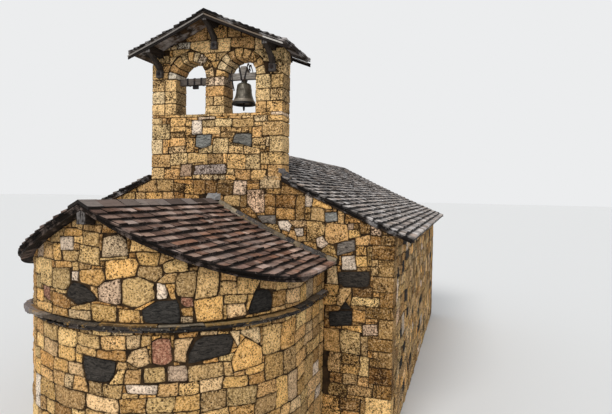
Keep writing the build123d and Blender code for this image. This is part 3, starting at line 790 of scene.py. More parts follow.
dice = Random(21)
east_cells = lay_courses(-nave_half, nave_half, 0, tower_foot + 0.1, dice)
east_cells = between(east_cells, 0.0, tower_foot, axis=1)
east_cells = between(east_cells, -nave_half, nave_half)
east_cells = chosen(east_cells, (
    (slate_dark, [(2.9, 3.28), (3.03, 3.19), (3.54, 3.23), (3.58, 3.41), (3.56, 3.56), (2.88, 3.5)]),
    (slate_dark, [(2.74, 2.35), (3.21, 2.41), (3.22, 2.73), (2.71, 2.66)]),
    (slate_dark, [(3.21, 2.75), (3.06, 2.9), (2.95, 2.73)]),
    (cream, [(2.98, 3.54), (3.29, 3.57), (3.24, 3.87), (2.96, 3.84)]),
    (pink, [(3.56, 4.29), (3.8, 4.28), (3.8, 4.47), (3.56, 4.54)]),
    (pink, [(3.44, 2.22), (3.76, 2.26), (3.74, 2.49), (3.42, 2.45)]),
    (cream, [(1.59, 4.34), (1.81, 4.29), (1.87, 4.44), (1.76, 4.55), (1.53, 4.51)]),
    (cream, [(1.98, 4.19), (2.13, 4.22), (2.13, 4.39), (1.92, 4.37)]),
    (cream, [(2.43, 4.01), (2.55, 3.96), (2.68, 4.08), (2.54, 4.24), (2.4, 4.18)]),
    (blue_grey, [(2.6, 4.51), (2.87, 4.56), (2.85, 4.75), (2.59, 4.73)]),
    (slate_grey, [(2.87, 3.84), (3.26, 3.96), (3.24, 4.2), (2.79, 4.08)]),
    (slate_grey, [(1.18, 4.46), (1.51, 4.44), (1.5, 4.64), (1.05, 4.62)]),
    (golden, [(3.11, 4.2), (3.36, 4.26), (3.34, 4.41), (3.09, 4.38)]),
    (sand, [(1.11, 5.2), (1.6, 5.22), (1.58, 5.49), (1.11, 5.48)]),
    (pink, [(0.82, 4.87), (1.02, 4.66), (1.24, 4.69), (1.22, 5.2), (0.82, 5.17)]),
    (cream, [(2.15, 4.83), (2.3, 4.84), (2.34, 5.17), (2.15, 5.16)]),
))
east_ends = (corner_places[(-1, -1)], corner_places[(1, -1)])
east_cells = cut_corners(east_cells, -nave_half, nave_half, 0, east_ends)
apse_reach = apse_roof[2]
kept = []
for outline, tint in east_cells:
    area, (x, z) = measure(outline)
    side = 1 if x > 0 else -1
    line = roof_top(apse_roof, min(abs(x), apse_reach)) + drip_top
    if abs(x) < apse_reach and z > line - 0.12:
        kept += over(apse_roof, [(outline, tint)], drip_top - 0.01)
    elif abs(x) > apse_radius:
        inner = apse_radius if z < apse_roof[1] - apse_roof[4] else apse_reach
        kept += between([(outline, tint)], *sorted((side * inner, side * nave_half)))
beside_tower = tower_half - 0.1
east_cells = under(nave_roof, [cell for cell in kept if abs(middle_of(cell[0])[0]) > beside_tower])
east_cells += [cell for cell in kept if abs(middle_of(cell[0])[0]) <= beside_tower]
front_face = flat_face((0, east_y, 0), (1, 0, 0), (0, -1, 0))
lay_cells("east_wall_stones", east_cells, front_face, dice, warm_stones)

for name, side, start, way, ends in (
    ("nave_right_stones", 1, east_y, 1, ((1, -1), (1, 1))),
    ("nave_left_stones", -1, west_y, -1, ((-1, 1), (-1, -1))),
):
    dice = Random(33 + side)
    length = west_y - east_y
    cells = between(lay_courses(0, length, 0, nave_eave_line, dice), 0.0, nave_eave_line - 0.004, axis=1)
    cells = cut_corners(cells, 0, length, 1, [corner_places[end] for end in ends])
    place = flat_face((side * nave_half, start, 0), (0, way, 0), (side, 0, 0))
    lay_cells(name, between(cells, 0, length), place, dice, side_stones)


# Tower: the bell gable, one wall thick. Its edges, piers and sills are stones that go right through, and
# its two openings are turned with wedge-shaped stones.
opening_near = corners_of("bell_pier_middle")[1][0]
opening_far = corners_of("bell_pier_right")[0][0]
sill_z = corners_of("bell_pier_middle")[0][2]
springing_z = corners_of("bell_pier_middle")[1][2]
arch_radius = (opening_far - opening_near) / 2
arch_x = (opening_far + opening_near) / 2
sill_thickness, sill_nose, arch_depth = 0.058, 0.006, 0.218
tower_stones = Stones()
dice = Random(55)
y_faces = (east_y - proud, east_back + proud)
gap = joint_width / 2
edge_places = []
for side in (-1, 1):
    for foot, top in ((tower_foot, sill_z - sill_thickness), (springing_z, roof_top(bell_roof, tower_half))):
        z, turn = foot, 0
        while z < top - 0.12:
            tall = min(dice.uniform(0.26, 0.38), top - z)
            if top - z - tall < 0.12:
                tall = top - z
            inner = tower_half - (0.28, 0.46)[turn % 2] - dice.uniform(-0.05, 0.05)
            if foot == springing_z:
                ring_reach = sqrt(max(0.0, (arch_radius + arch_depth) ** 2 - (z - springing_z) ** 2))
                inner = max(inner, arch_x + ring_reach - 0.005)
            xs = sorted((side * (tower_half + proud), side * (inner + gap)))
            roof_z = roof_top(bell_roof, tower_half) - bell_roof[4]
            rough_block(
                tower_stones, (xs[0], y_faces[0], z + gap), (xs[1], y_faces[1], min(z + tall, roof_z) - gap),
                dice.choice(painted_sunlit_stones), dice,
            )
            edge_places.append(box_outline(*sorted((side * inner, side * (tower_half + 0.5))), z, z + tall))
            z += tall
            turn += 1

x = -tower_half - proud
while x < tower_half - 0.1:
    wide = min(dice.uniform(0.26, 0.52), tower_half + proud - x)
    if tower_half + proud - x - wide < 0.15:
        wide = tower_half + proud - x
    low = (x + gap / 2, y_faces[0] - sill_nose, sill_z - sill_thickness)
    high = (x + wide - gap / 2, y_faces[1], sill_z)
    rough_block(tower_stones, low, high, dice.choice(painted_sunlit_stones), dice, round_off=0.016)
    x += wide

for x0, x1, out0, out1 in (
    (-tower_half, -opening_far, proud, 0.010),
    (-opening_near, opening_near, 0.010, 0.010),
    (opening_far, tower_half, 0.010, proud),
):
    z, turn = sill_z, 0
    courses = 4 if x0 == -opening_near else 3
    for course in range(courses):
        share = 1 if course == courses - 1 else dice.uniform(0.86, 1.14)
        tall = (springing_z - z) / (courses - course) * share
        cut = x0 + (x1 - x0) * dice.uniform(0.40, 0.60)
        spans = [(x0 - out0, x1 + out1)]
        if turn % 2 == (x0 == -opening_near) or x1 - x0 > 0.5:
            spans = [(x0 - out0, cut - gap), (cut + gap, x1 + out1)]
        for low_x, high_x in spans:
            low, high = (low_x, y_faces[0], z + gap), (high_x, y_faces[1], z + tall - gap)
            # The piers' faces in the openings' reveals are painted darker, as shade.
            rough_block(tower_stones, low, high, dice.choice(painted_sunlit_stones), dice, reveal_shade=0.6)
        z += tall
        turn += 1


def wedge_place(centre_x, centre_z, radius, turn):
    """Bends a block, laid out as along the ring, outwards and through the wall, into a wedge of an arch."""

    def place(points):
        angle = turn - points[:, 0] / radius
        reach = points[:, 2]
        across, height = centre_x + reach * np.cos(angle), centre_z + reach * np.sin(angle)
        return np.column_stack((across, points[:, 1], height))

    return place


def half_round(centre_x, centre_z, radius, steps=12):
    """Outline of the upper half of a circle."""
    angles = [pi * step / steps for step in range(steps + 1)]
    return [(centre_x + radius * cos(angle), centre_z + radius * sin(angle)) for angle in angles]


def turn_arch(stones, centre_x, centre_z, inner, depth, faces, count, dice, palette):
    """Wedge-shaped stones round a half circle, a little uneven in width and depth."""
    shares = [1 + dice.uniform(-0.18, 0.18) for _ in range(count)]
    reach = inner + depth / 2
    turn = pi
    for share in shares:
        span = pi * share / sum(shares) * reach
        outer = inner + depth * dice.uniform(0.90, 1.04)
        low, high = (gap * 0.9, faces[0], inner - 0.010), (span - gap * 0.9, faces[1], outer - gap * 0.5)
        place = wedge_place(centre_x, centre_z, reach, turn)
        rough_block(stones, low, high, dice.choice(palette), dice, place, round_off=0.024, rough=0.003)
        turn -= span / reach


for centre_x in (-arch_x, arch_x):
    turn_arch(tower_stones, centre_x, springing_z, arch_radius, arch_depth, y_faces, 9, dice, painted_sunlit_stones)
tower_stones.piece("bell_gable_dressed_stones", stone_material, "masonry")

ring_out = arch_radius + arch_depth
rings = [half_round(centre_x, springing_z, ring_out) for centre_x in (-arch_x, arch_x)]
for name, place, mirror, specials in (
    ("bell_gable_front_stones", front_face, 1, (
        (blue_grey, [(-0.48, 6.13), (-0.32, 6.08), (-0.08, 6.15), (-0.06, 6.4), (-0.45, 6.39)]),
        (blue_grey, [(0.43, 6.21), (0.69, 6.16), (0.91, 6.11), (0.91, 6.4), (0.51, 6.41)]),
        (cream, [(-0.57, 6.39), (-0.3, 6.41), (-0.31, 6.73), (-0.57, 6.72)]),
        ((166, 148, 136), [(-0.54, 5.49), (0.31, 5.53), (0.32, 5.74), (-0.53, 5.71)]),
        (pink, [(-0.87, 5.45), (-0.57, 5.46), (-0.56, 5.75), (-0.84, 5.72)]),
    )),
    ("bell_gable_rear_stones", flat_face((0, east_back, 0), (-1, 0, 0), (0, 1, 0)), -1, (
        (slate_dark, [(0.20, 6.12), (0.60, 6.14), (0.62, 6.40), (0.24, 6.42)]),
        (cream, [(-1.02, 5.98), (-0.64, 6.0), (-0.62, 6.24), (-1.0, 6.22)]),
    )),
):
    dice = Random(77 + mirror)
    cells = lay_courses(-tower_half, tower_half, tower_foot, bell_roof[0], dice, True)
    cells = chosen(between(cells, tower_foot, sill_z - sill_thickness, axis=1), specials)
    head = lay_courses(-tower_half, tower_half, springing_z, bell_roof[0], dice, True)
    head = between(head, springing_z, bell_roof[0], axis=1)
    for ring in rings:
        head = [
            (outline, tint) for outline, tint in carve(head, ring)
            if hypot(abs(middle_of(outline)[0]) - arch_x, middle_of(outline)[1] - springing_z)
            > ring_out - 0.02
        ]
    for tint, outline in (
        (golden, [(-0.03, 0.19), (0.03, 0.19), (0.12, 0.345), (-0.12, 0.345)]),
        (ochre, [(-0.115, 0.35), (0.01, 0.35), (0.03, 0.53), (-0.31, 0.53)]),
        (tan, [(0.015, 0.35), (0.115, 0.35), (0.31, 0.53), (0.035, 0.53)]),
    ):
        outline = [(x, springing_z + z) for x, z in outline]
        head = carve(head, outline) + [(outline, tint)]
    cells += under(bell_roof, head)
    for outline in edge_places:
        cells = carve(cells, [(mirror * px, pz) for px, pz in (outline if mirror > 0 else outline[::-1])])
    if mirror < 0:
        cells = over(nave_roof, cells, 0.02)
    lay_cells(name, between(cells, -tower_half, tower_half), place, dice, painted_sunlit_stones)


# Apse wall: the same rubble laid round the curve, with the photographed slate, red and cream stones in
# their places, above and below the string course.
straight = east_y - apse_centre
round_length = pi * apse_radius
apse_length = 2 * straight + round_length
string_low, string_high = (corners_of("apse_string_course")[end][2] for end in (0, 1))


def apse_place(along, height, outward):
    """Maps places along the apse wall, from its left end to its right, and heights above its face."""
    angle = np.clip((along - straight) / apse_radius, 0, pi)
    x = -np.cos(angle) * (apse_radius + outward)
    y = apse_centre - np.sin(angle) * (apse_radius + outward)
    y = y + np.clip(straight - along, 0, None) + np.clip(along - straight - round_length, 0, None)
    return np.column_stack((x, y, height))


def apse_x(along):
    """How far out to the side a place along the apse wall lies."""
    return -cos(min(max((along - straight) / apse_radius, 0), pi)) * apse_radius


dice = Random(91)
upper = lay_courses(0, apse_length, string_high, apse_roof[0], dice)
upper = between(upper, string_high + roof_clearance, apse_roof[0], axis=1)
upper = chosen(upper, (
    (slate_dark, [
        (4.89, 3.46), (5.02, 3.44), (5.15, 3.35), (5.3, 3.41), (5.51, 3.45),
        (5.52, 3.5), (5.35, 3.64), (5.18, 3.71), (4.98, 3.71),
    ]),
    (slate_dark, [(6.21, 3.34), (6.26, 3.14), (6.79, 3.13), (6.79, 3.35), (6.75, 3.5), (6.44, 3.49)]),
    (slate_dark, [
        (7.95, 3.46), (7.86, 3.25), (7.87, 3.18), (8.33, 3.18), (8.35, 3.38), (8.29, 3.53), (8.02, 3.58),
    ]),
    (brick_red, [(6.79, 3.44), (6.87, 3.37), (6.99, 3.38), (6.97, 3.52), (6.78, 3.54)]),
    (brick_red, [(4.22, 3.37), (4.48, 3.33), (4.48, 3.56), (4.2, 3.57)]),
    (cream, [(6.44, 3.5), (6.59, 3.51), (6.61, 3.6), (6.56, 3.73), (6.44, 3.76)]),
    (pink, [(5.54, 3.45), (5.91, 3.4), (5.91, 3.82), (5.63, 3.74), (5.52, 3.65)]),
    (ochre, [(5.92, 3.43), (6.15, 3.37), (6.43, 3.52), (6.4, 3.75), (6.17, 3.84), (5.92, 3.8)]),
    (cream, [(4.77, 4.17), (5.07, 4.19), (5.07, 4.41), (4.75, 4.39)]),
    (cream, [(5.02, 3.72), (5.16, 3.72), (5.17, 3.88), (5.03, 3.87)]),
    (greyish, [(5.58, 4.1), (6.02, 4.15), (5.99, 4.4), (5.86, 4.48), (5.61, 4.42)]),
    (sand, [(7.5, 3.15), (7.85, 3.17), (7.8, 3.37), (7.49, 3.38)]),
    (golden, [(5.66, 3.77), (6.13, 3.85), (6.17, 4.03), (6.14, 4.13), (5.64, 4.07)]),
    (tan, [(6.14, 3.85), (6.43, 3.76), (6.54, 3.87), (6.52, 4.0), (6.18, 4.01)]),
    (ochre, [(6.55, 3.89), (6.91, 3.92), (6.89, 4.05), (6.72, 4.13), (6.52, 4.04)]),
    (golden, [(5.19, 3.71), (5.51, 3.66), (5.66, 3.77), (5.61, 3.95), (5.18, 3.9)]),
    (ochre, [(4.53, 3.56), (4.88, 3.56), (5.0, 3.66), (4.99, 3.92), (4.52, 3.87)]),
    (golden, [(5.43, 3.14), (5.84, 3.14), (5.84, 3.39), (5.41, 3.41)]),
    (golden, [(5.87, 3.14), (6.21, 3.14), (6.19, 3.34), (5.87, 3.36)]),
))
trimmed = []
for outline, tint in upper:
    middle = middle_of(outline)[0]
    x = apse_x(middle)
    ahead = (apse_x(middle + 0.05) - apse_x(middle - 0.05)) / 0.1
    top = roof_top(apse_roof, x) - apse_roof[4] - roof_clearance
    slope = fall(apse_roof, x) * (1 if x > 0 else -1) * ahead
    trimmed.append((trim(outline, (middle, top), (slope, 1)), tint))
beam_low, beam_high = corners_of("apse_ridge_beam")
front_along = straight + round_length / 2
upper = carve(stout(trimmed), box_outline(
    front_along + beam_low[0] - 0.01, front_along + beam_high[0] + 0.01,
    beam_low[2] - 0.01, beam_high[2] + 0.2,
))
lower = between(lay_courses(0, apse_length, 0, string_low, dice), 0.0, string_low - 0.004, axis=1)
lower = chosen(lower, (
    (slate_dark, [(5.25, 2.47), (5.32, 2.22), (5.74, 2.23), (5.81, 2.34), (5.86, 2.56), (5.26, 2.61)]),
    (slate_dark, [
        (6.91, 2.64), (6.89, 2.5), (7.07, 2.53), (7.56, 2.6),
        (7.62, 2.81), (7.56, 2.92), (7.13, 2.93), (7.01, 2.86),
    ]),
    (brick_red, [(6.38, 2.53), (6.57, 2.5), (6.69, 2.56), (6.65, 2.91), (6.47, 2.92), (6.37, 2.87)]),
    (golden, [(7.58, 2.47), (7.62, 2.28), (8.16, 2.33), (8.15, 2.61), (7.82, 2.83), (7.64, 2.62)]),
    (sand, [(6.18, 2.46), (6.36, 2.53), (6.3, 2.8), (6.06, 2.72), (5.99, 2.56)]),
    (cream, [(6.01, 2.08), (6.46, 2.06), (6.48, 2.22), (6.3, 2.21), (6.15, 2.22), (5.97, 2.21)]),
    (sand, [(6.7, 2.56), (6.88, 2.52), (6.89, 2.7), (6.99, 2.91), (6.7, 2.91)]),
    (pink, [(6.61, 2.25), (6.91, 2.25), (6.9, 2.49), (6.6, 2.5)]),
    (ochre, [(6.26, 2.24), (6.59, 2.25), (6.58, 2.49), (6.26, 2.47)]),
))
lay_cells("apse_upper_stones", between(upper, 0, apse_length), apse_place, dice, light_stones, 0.6)
lay_cells("apse_lower_stones", between(lower, 0, apse_length), apse_place, dice, light_stones, 0.6)


# Rear gable: rubble round a round-headed doorway with squared jamb stones and a ring of wedges. The
# ends of the roof beams come through it.
door_half = corners_of("door_leaf")[1][0]
door_top = corners_of("door_leaf")[1][2]
door_face = corners_of("door_leaf")[1][1]
door_springing = door_top - door_half
door_stones = Stones()
dice = Random(101)
door_depth, jamb_places = 0.24, []
door_faces = (door_face + 0.004, west_y + proud)
for side in (-1, 1):
    z, turn = 0.0, 0
    while z < door_springing - 0.05:
        tall = min(dice.uniform(0.28, 0.42), door_springing - z)
        if door_springing - z - tall < 0.15:
            tall = door_springing - z
        wide = (0.26, 0.42)[turn % 2] + dice.uniform(-0.03, 0.05)
        xs = sorted((side * (door_half - 0.010), side * (door_half + wide)))
        low, high = (xs[0], door_faces[0], max(z + gap, 0.002)), (xs[1], door_faces[1], z + tall - gap)
        rough_block(door_stones, low, high, None, dice)
        room = sorted((side * (door_half - 0.05), side * (door_half + wide)))
        jamb_places.append(box_outline(*room, z, z + tall))
        z += tall
        turn += 1
turn_arch(door_stones, 0, door_springing, door_half, door_depth, door_faces, 11, dice, warm_stones)
door_stones.piece("doorway_stones", stone_material, "masonry")

cells = between(lay_courses(-nave_half, nave_half, 0, nave_roof[0], dice), 0.0, nave_roof[0], axis=1)
cells = carve(cells, box_outline(-door_half, door_half, -0.1, door_springing))
cells = carve(cells, half_round(0, door_springing, door_half + door_depth))
for outline in jamb_places:
    cells = carve(cells, outline)
cells = [
    (outline, tint) for outline, tint in cells
    if abs(middle_of(outline)[0]) > door_half or middle_of(outline)[1] > door_springing + door_half
]
nave_purlin_x, beam_half, beam_tall = 2.1, 0.09, 0.21
for x in (-nave_purlin_x, 0, nave_purlin_x):
    top = roof_top(nave_roof, x) - nave_roof[4]
    cells = carve(cells, box_outline(x - beam_half, x + beam_half, top - beam_tall, top + 0.2))
cells = under(nave_roof, cells)
cells = cut_corners(cells, -nave_half, nave_half, 0, (corner_places[(1, 1)], corner_places[(-1, 1)]))
rear_face = flat_face((0, west_y, 0), (-1, 0, 0), (0, 1, 0))
lay_cells("rear_gable_stones", between(cells, -nave_half, nave_half), rear_face, dice, warm_stones)


# String course: slabs of split slate in three layers round the apse, bedded in the wall, their outer
# edges broken by hand and the top layer weathered so that rain runs off.
def lay_slab(stones, outline, low, high, tint, dice, place=None, arris=0.003, share=0.0, sides=1.0):
    """A flat piece on an outline, counter-clockwise from above, between two heights, its top edge worn."""
    plan = np.array(outline, float)
    middle = plan.mean(axis=0)
    reach = np.linalg.norm(plan - middle, axis=1, keepdims=True)
    inner = middle + (plan - middle) * np.maximum(0.5, 1 - arris * 1.4 / reach)
    rings = []
    for ring, level, drop in ((plan, low, 0), (plan, high, arris), (inner, high, 0)):
        rings.append(np.column_stack((ring, level(ring[:, 0], ring[:, 1]) - drop)))
    points = np.concatenate(rings)
    shares = share(points[:, 0], points[:, 1]) if callable(share) else share
    if place:
        points = place(points)
    count = len(plan)
    faces = []
    for ring in (0, 1):
        for step in range(count):
            ahead, base = (step + 1) % count, ring * count
            faces.append((base + step, base + ahead, base + count + ahead, base + count + step))
    faces += [tuple(range(2 * count, 3 * count)), tuple(range(count - 1, -1, -1))]
    # The factor sides paints the side faces darker, as shade: near black in the gaps and at the butts of
    # shingles and under the ridge boards, less on slabs.
    stones.add(points, faces, tinted(tint, dice, 0.16), shares, [sides] * 2 * count + [1.0] * count)


def at_level(level):
    """A flat lower or upper face for a slab."""
    return lambda x, y: level + 0 * x


def broken(outline, edges, dice, rough):
    """Breaks some edges of an outline, given by their numbers, into short uneven steps."""
    made = []
    for number, (here, there) in enumerate(sides_of(outline)):
        made.append(here)
        if number in edges:
            length = hypot(there[0] - here[0], there[1] - here[1])
            steps = max(2, round(length / 0.09))
            across = ((there[1] - here[1]) / length, (here[0] - there[0]) / length)
            for step in range(1, steps):
                share = (step + dice.uniform(-0.25, 0.25)) / steps
                push = -abs(dice.gauss(0, rough))
                made.append((
                    here[0] + (there[0] - here[0]) * share + across[0] * push,
                    here[1] + (there[1] - here[1]) * share + across[1] * push,
                ))
    return made


def slate_colour(tree):
    tint = own_tint(tree)["Color"]
    places = object_places(tree)
    grain = clouds(tree, places, 14.0, 6.0, Roughness=0.7)
    toned = shaded(tree, tint, spread(tree, grain, 0.3, 0.7), grey(0.45), grey(1.5))
    patch = clouds(tree, places, 7.0, 5.0, Roughness=0.7)
    lichen = mix(tree, spread(tree, patch, 0.58, 0.66, 0.0, 0.8), toned, paint(168, 128, 62))
    speck = put(tree, "ShaderNodeTexVoronoi", Vector=places, Scale=22.0).outputs["Distance"]
    return mix(tree, spread(tree, speck, 0.22, 0.12), lichen, paint(160, 150, 132))


def slate_height(tree):
    places = object_places(tree, (1, 1, 6))
    return clouds(tree, places, 12.0, 8.0, Roughness=0.7)


slate = finished("split_slate", slate_colour, 0.75, slate_height, depth=0.012)
string_out = -corners_of("apse_string_course")[0][0] - apse_radius
slate_tones = ((128, 114, 94), (104, 95, 84), (142, 128, 106), (86, 80, 76), (150, 138, 120), (116, 102, 82))
string_top_tones = ((138, 108, 68), (96, 84, 70), (140, 112, 70), (82, 74, 66), (122, 108, 90), (110, 92, 66))
string_end_tones, pale_end = ((156, 150, 142), (138, 133, 128)), 1.0
string_under_tones = ((52, 47, 44), (66, 59, 54), (44, 40, 38), (80, 72, 64))


def round_the_apse(points):
    """Places given as height out from the apse wall, place along it and level."""
    return apse_place(points[:, 1], points[:, 2], points[:, 0])


stones = Stones()
dice = Random(131)
layer_count = 3
for layer in range(layer_count):
    foot = string_low + (string_high - string_low) * layer / layer_count
    head = string_low + (string_high - string_low) * (layer + 1) / layer_count - 0.003
    along = -dice.uniform(0, 0.3)
    while along < apse_length:
        wide = dice.uniform(0.55, 1.10) if layer == layer_count - 1 else dice.uniform(0.28, 0.75)
        start, stop = max(along, 0.0) + 0.004, min(along + wide, apse_length) - 0.004
        along += wide
        if stop - start < 0.08:
            continue
        out = string_out - min(0.09, abs(dice.gauss(0, 0.032))) - (0.044, 0.018, 0.0)[layer]
        corner = dice.uniform(0.0, 0.05)
        slab = [(-0.10, start), (out - corner, start), (out, start + corner), (out, stop), (-0.10, stop)]
        outline = broken(slab, (2,), dice, 0.018)
        lift, rock, middle = dice.uniform(-0.010, 0.006), dice.gauss(0, 0.018), (start + stop) / 2
        top_layer = layer == layer_count - 1
        fall_out = 0.26 if top_layer else 0.03
        tones = string_top_tones if top_layer else string_under_tones
        if top_layer and start > apse_length - pale_end:
            tones = string_end_tones
        # The slabs' sides are painted darker, as shade, the top layer's most.
        lay_slab(
            stones, outline, at_level(foot),
            lambda x, y: head + lift + np.abs(y - middle) * rock - np.maximum(x, 0) * fall_out,
            dice.choice(tones), dice, round_the_apse, arris=0.005, sides=0.45 if top_layer else 0.8,
        )
for slab_plan, foot, head, tint in (
    (
        ((-0.10, 2.9), (0.11, 2.92), (0.15, 3.10), (0.172, 3.34), (0.16, 3.62), (0.13, 3.84), (-0.10, 3.9)),
        0.014, 0.092, (134, 128, 128),
    ),
    (
        ((-0.10, 2.6), (0.12, 2.62), (0.14, 2.86), (0.152, 3.32), (0.13, 3.64), (-0.10, 3.7)),
        -0.020, 0.012, (96, 86, 78),
    ),
    (
        ((-0.10, 3.6), (0.13, 3.62), (0.14, 3.86), (0.132, 4.22), (0.11, 4.40), (-0.10, 4.5)),
        0.052, 0.088, (122, 112, 102),
    ),
):
    outline = broken(list(slab_plan), range(1, len(slab_plan) - 2), dice, 0.016)
    lay_slab(
        stones, outline, at_level(string_low + foot),
        lambda x, y: string_low + head + (x - 0.1) * 0.10 + (y - 3.3) * 0.03,
        tint, dice, round_the_apse, arris=0.012, sides=0.8,
    )
stones.piece("slate_string_course", slate, "slate", replaced=("apse_string_course",), smooth=False)


# Slate drip course along the joint of apse roof and east wall: two rows of narrow slates let into the
# wall, the upper one steeper, so that water off the gable runs onto the shingles.
stones = Stones()
dice = Random(137)
drip_out = east_y - corners_of("apse_drip_course")[0][1]
for side in (-1, 1):
    for low_lift, high_lift, out, fall_out in (
        (0.018, 0.050, drip_out - 0.012, 0.10),
        (0.052, 0.104, drip_out - 0.055, 0.36),
    ):
        x = 0.17
        while x < apse_reach:
            wide = dice.uniform(0.13, 0.40)
            x0, x1 = x + 0.002, min(x + wide, apse_reach) - 0.002
            x += wide
            if x1 - x0 < 0.06:
                continue
            edge = east_y - out + abs(dice.gauss(0, 0.010))
            outline = [(side * x0, edge), (side * x1, edge)]
            outline += [(side * x1, east_y + 0.01), (side * x0, east_y + 0.01)]
            outline = broken(outline if side > 0 else outline[::-1], (0 if side > 0 else 2,), dice, 0.006)
            lift = dice.uniform(-0.012, 0.006)
            lay_slab(
                stones, outline, lambda x, y: roof_top(apse_roof, x) + low_lift - 0.03,
                lambda x, y: roof_top(apse_roof, x) + high_lift + lift - (east_y - y) * fall_out,
                dice.choice(slate_tones), dice, arris=0.004,
            )
ridge_top = corners_of("apse_ridge_cap")[1][2]
lay_slab(
    stones,
    [
        (-0.13, east_y - 0.11), (0.10, east_y - 0.12), (0.18, east_y - 0.02),
        (0.16, east_y + 0.01), (-0.14, east_y + 0.01),
    ],
    at_level(ridge_top - 0.03), lambda x, y: ridge_top + 0.02 + (y - east_y + 0.12) * 0.9,
    (130, 126, 122), dice, arris=0.006,
)


def on_the_front(points):
    """Places given as x, height and how far out from the front of the bell gable."""
    return np.column_stack((points[:, 0], east_y - points[:, 2], points[:, 1]))


flashing_foot = roof_top(nave_roof, tower_half) + 0.012
for shape, out in (
    (((-0.03, 0.0), (0.20, -0.10), (0.23, -0.04), (0.12, 0.06), (-0.03, 0.09)), 0.012),
    (((-0.06, 0.05), (0.06, 0.02), (0.13, 0.06), (0.05, 0.14), (-0.06, 0.15)), 0.026),
):
    outline = [(tower_half + x, flashing_foot + z) for x, z in shape]
    outline = broken(outline, (2, 3), dice, 0.012)
    lay_slab(stones, outline, at_level(-0.10), at_level(out), (84, 80, 78), dice, on_the_front, arris=0.006)
stones.piece("slate_drip_course", slate, "slate", replaced=("apse_drip_course",), smooth=False)


# Apse roof: split shingles in rows that run beside the ridge, on a deck of boards. The round eave shows
# the ends of three thicknesses under the shingles.
def slope_table(roof):
    """Places down a slope: distance from the ridge and the x at that distance."""
    xs = np.linspace(0, roof[2], 400)
    heights = roof_top(roof, xs)
    run = np.concatenate(([0], np.cumsum(np.hypot(np.diff(xs), np.diff(heights)))))
    return run, xs


def facing_up(outline):
    """An outline turned counter-clockwise."""
    return outline if measure(outline)[0] > 0 else outline[::-1]


def round_off(outline, radius, centre_y):
    """The part of an outline within the round end of the apse roof."""
    for corner in range(3, 178, 3):
        angle = radians(180 + corner)
        outward = (cos(angle), sin(angle))
        if any((x * outward[0] + (y - centre_y) * outward[1]) > radius for x, y in outline):
            outline = trim(outline, (radius * outward[0], centre_y + radius * outward[1]), outward)
            if len(outline) < 3:
                return []
    return outline


shingle_grain = (1.6, 22, 8)


def shingle_colour(pale, dark):
    """Colour of weathered shingles: each one's tint, with dirt and painted shadow under the row above."""

    def colour(tree):
        tint = own_tint(tree)
        grain = use_group(tree, wood_grain, Places=object_places(tree, shingle_grain))
        toned = shaded(tree, tint["Color"], grain["Grain"], (0.34, 0.32, 0.30, 1), grey(1.62))
        patch = clouds(tree, object_places(tree), 2.2, 6.0, Roughness=0.7)
        bleached = mix(tree, spread(tree, patch, 0.50, 0.66, 0.0, 0.60), toned, pale)
        stained = mix(tree, spread(tree, patch, 0.47, 0.32, 0.0, 0.60), bleached, dark)
        # Dirt and painted shadow: the upper part of each showing face, under the butt of the row above, is
        # darkened.
        return mix(tree, spread(tree, tint["Alpha"], 0.68, 0.52, 0.0, 0.98), stained, dark)

    return colour


def grain_group():
    """Long fibres and checks of weathered wood, for places already stretched along the grain."""
    group, given, wanted = new_group("wood_grain", ("Places",), ("Grain", "Checks"))
    places = given["Places"]
    fibre = clouds(group, places, 3.0, 8.0, Roughness=0.7, Distortion=0.3)
    check = clouds(group, places, 5.0, 2.0)
    group.links.new(spread(group, fibre, 0.30, 0.70), wanted["Grain"])
    group.links.new(spread(group, check, 0.64, 0.70), wanted["Checks"])
    return group


wood_grain = grain_group()


def wood_height(scale):
    """Height of the grain, with sunk checks."""

    def height(tree):
        grain = use_group(tree, wood_grain, Places=object_places(tree, scale))
        return sums(tree, "SUBTRACT", sums(tree, "MULTIPLY", grain["Grain"], 0.6), grain["Checks"])

    return height


shingle_sink = 0.022
shingle_butt = 0.036


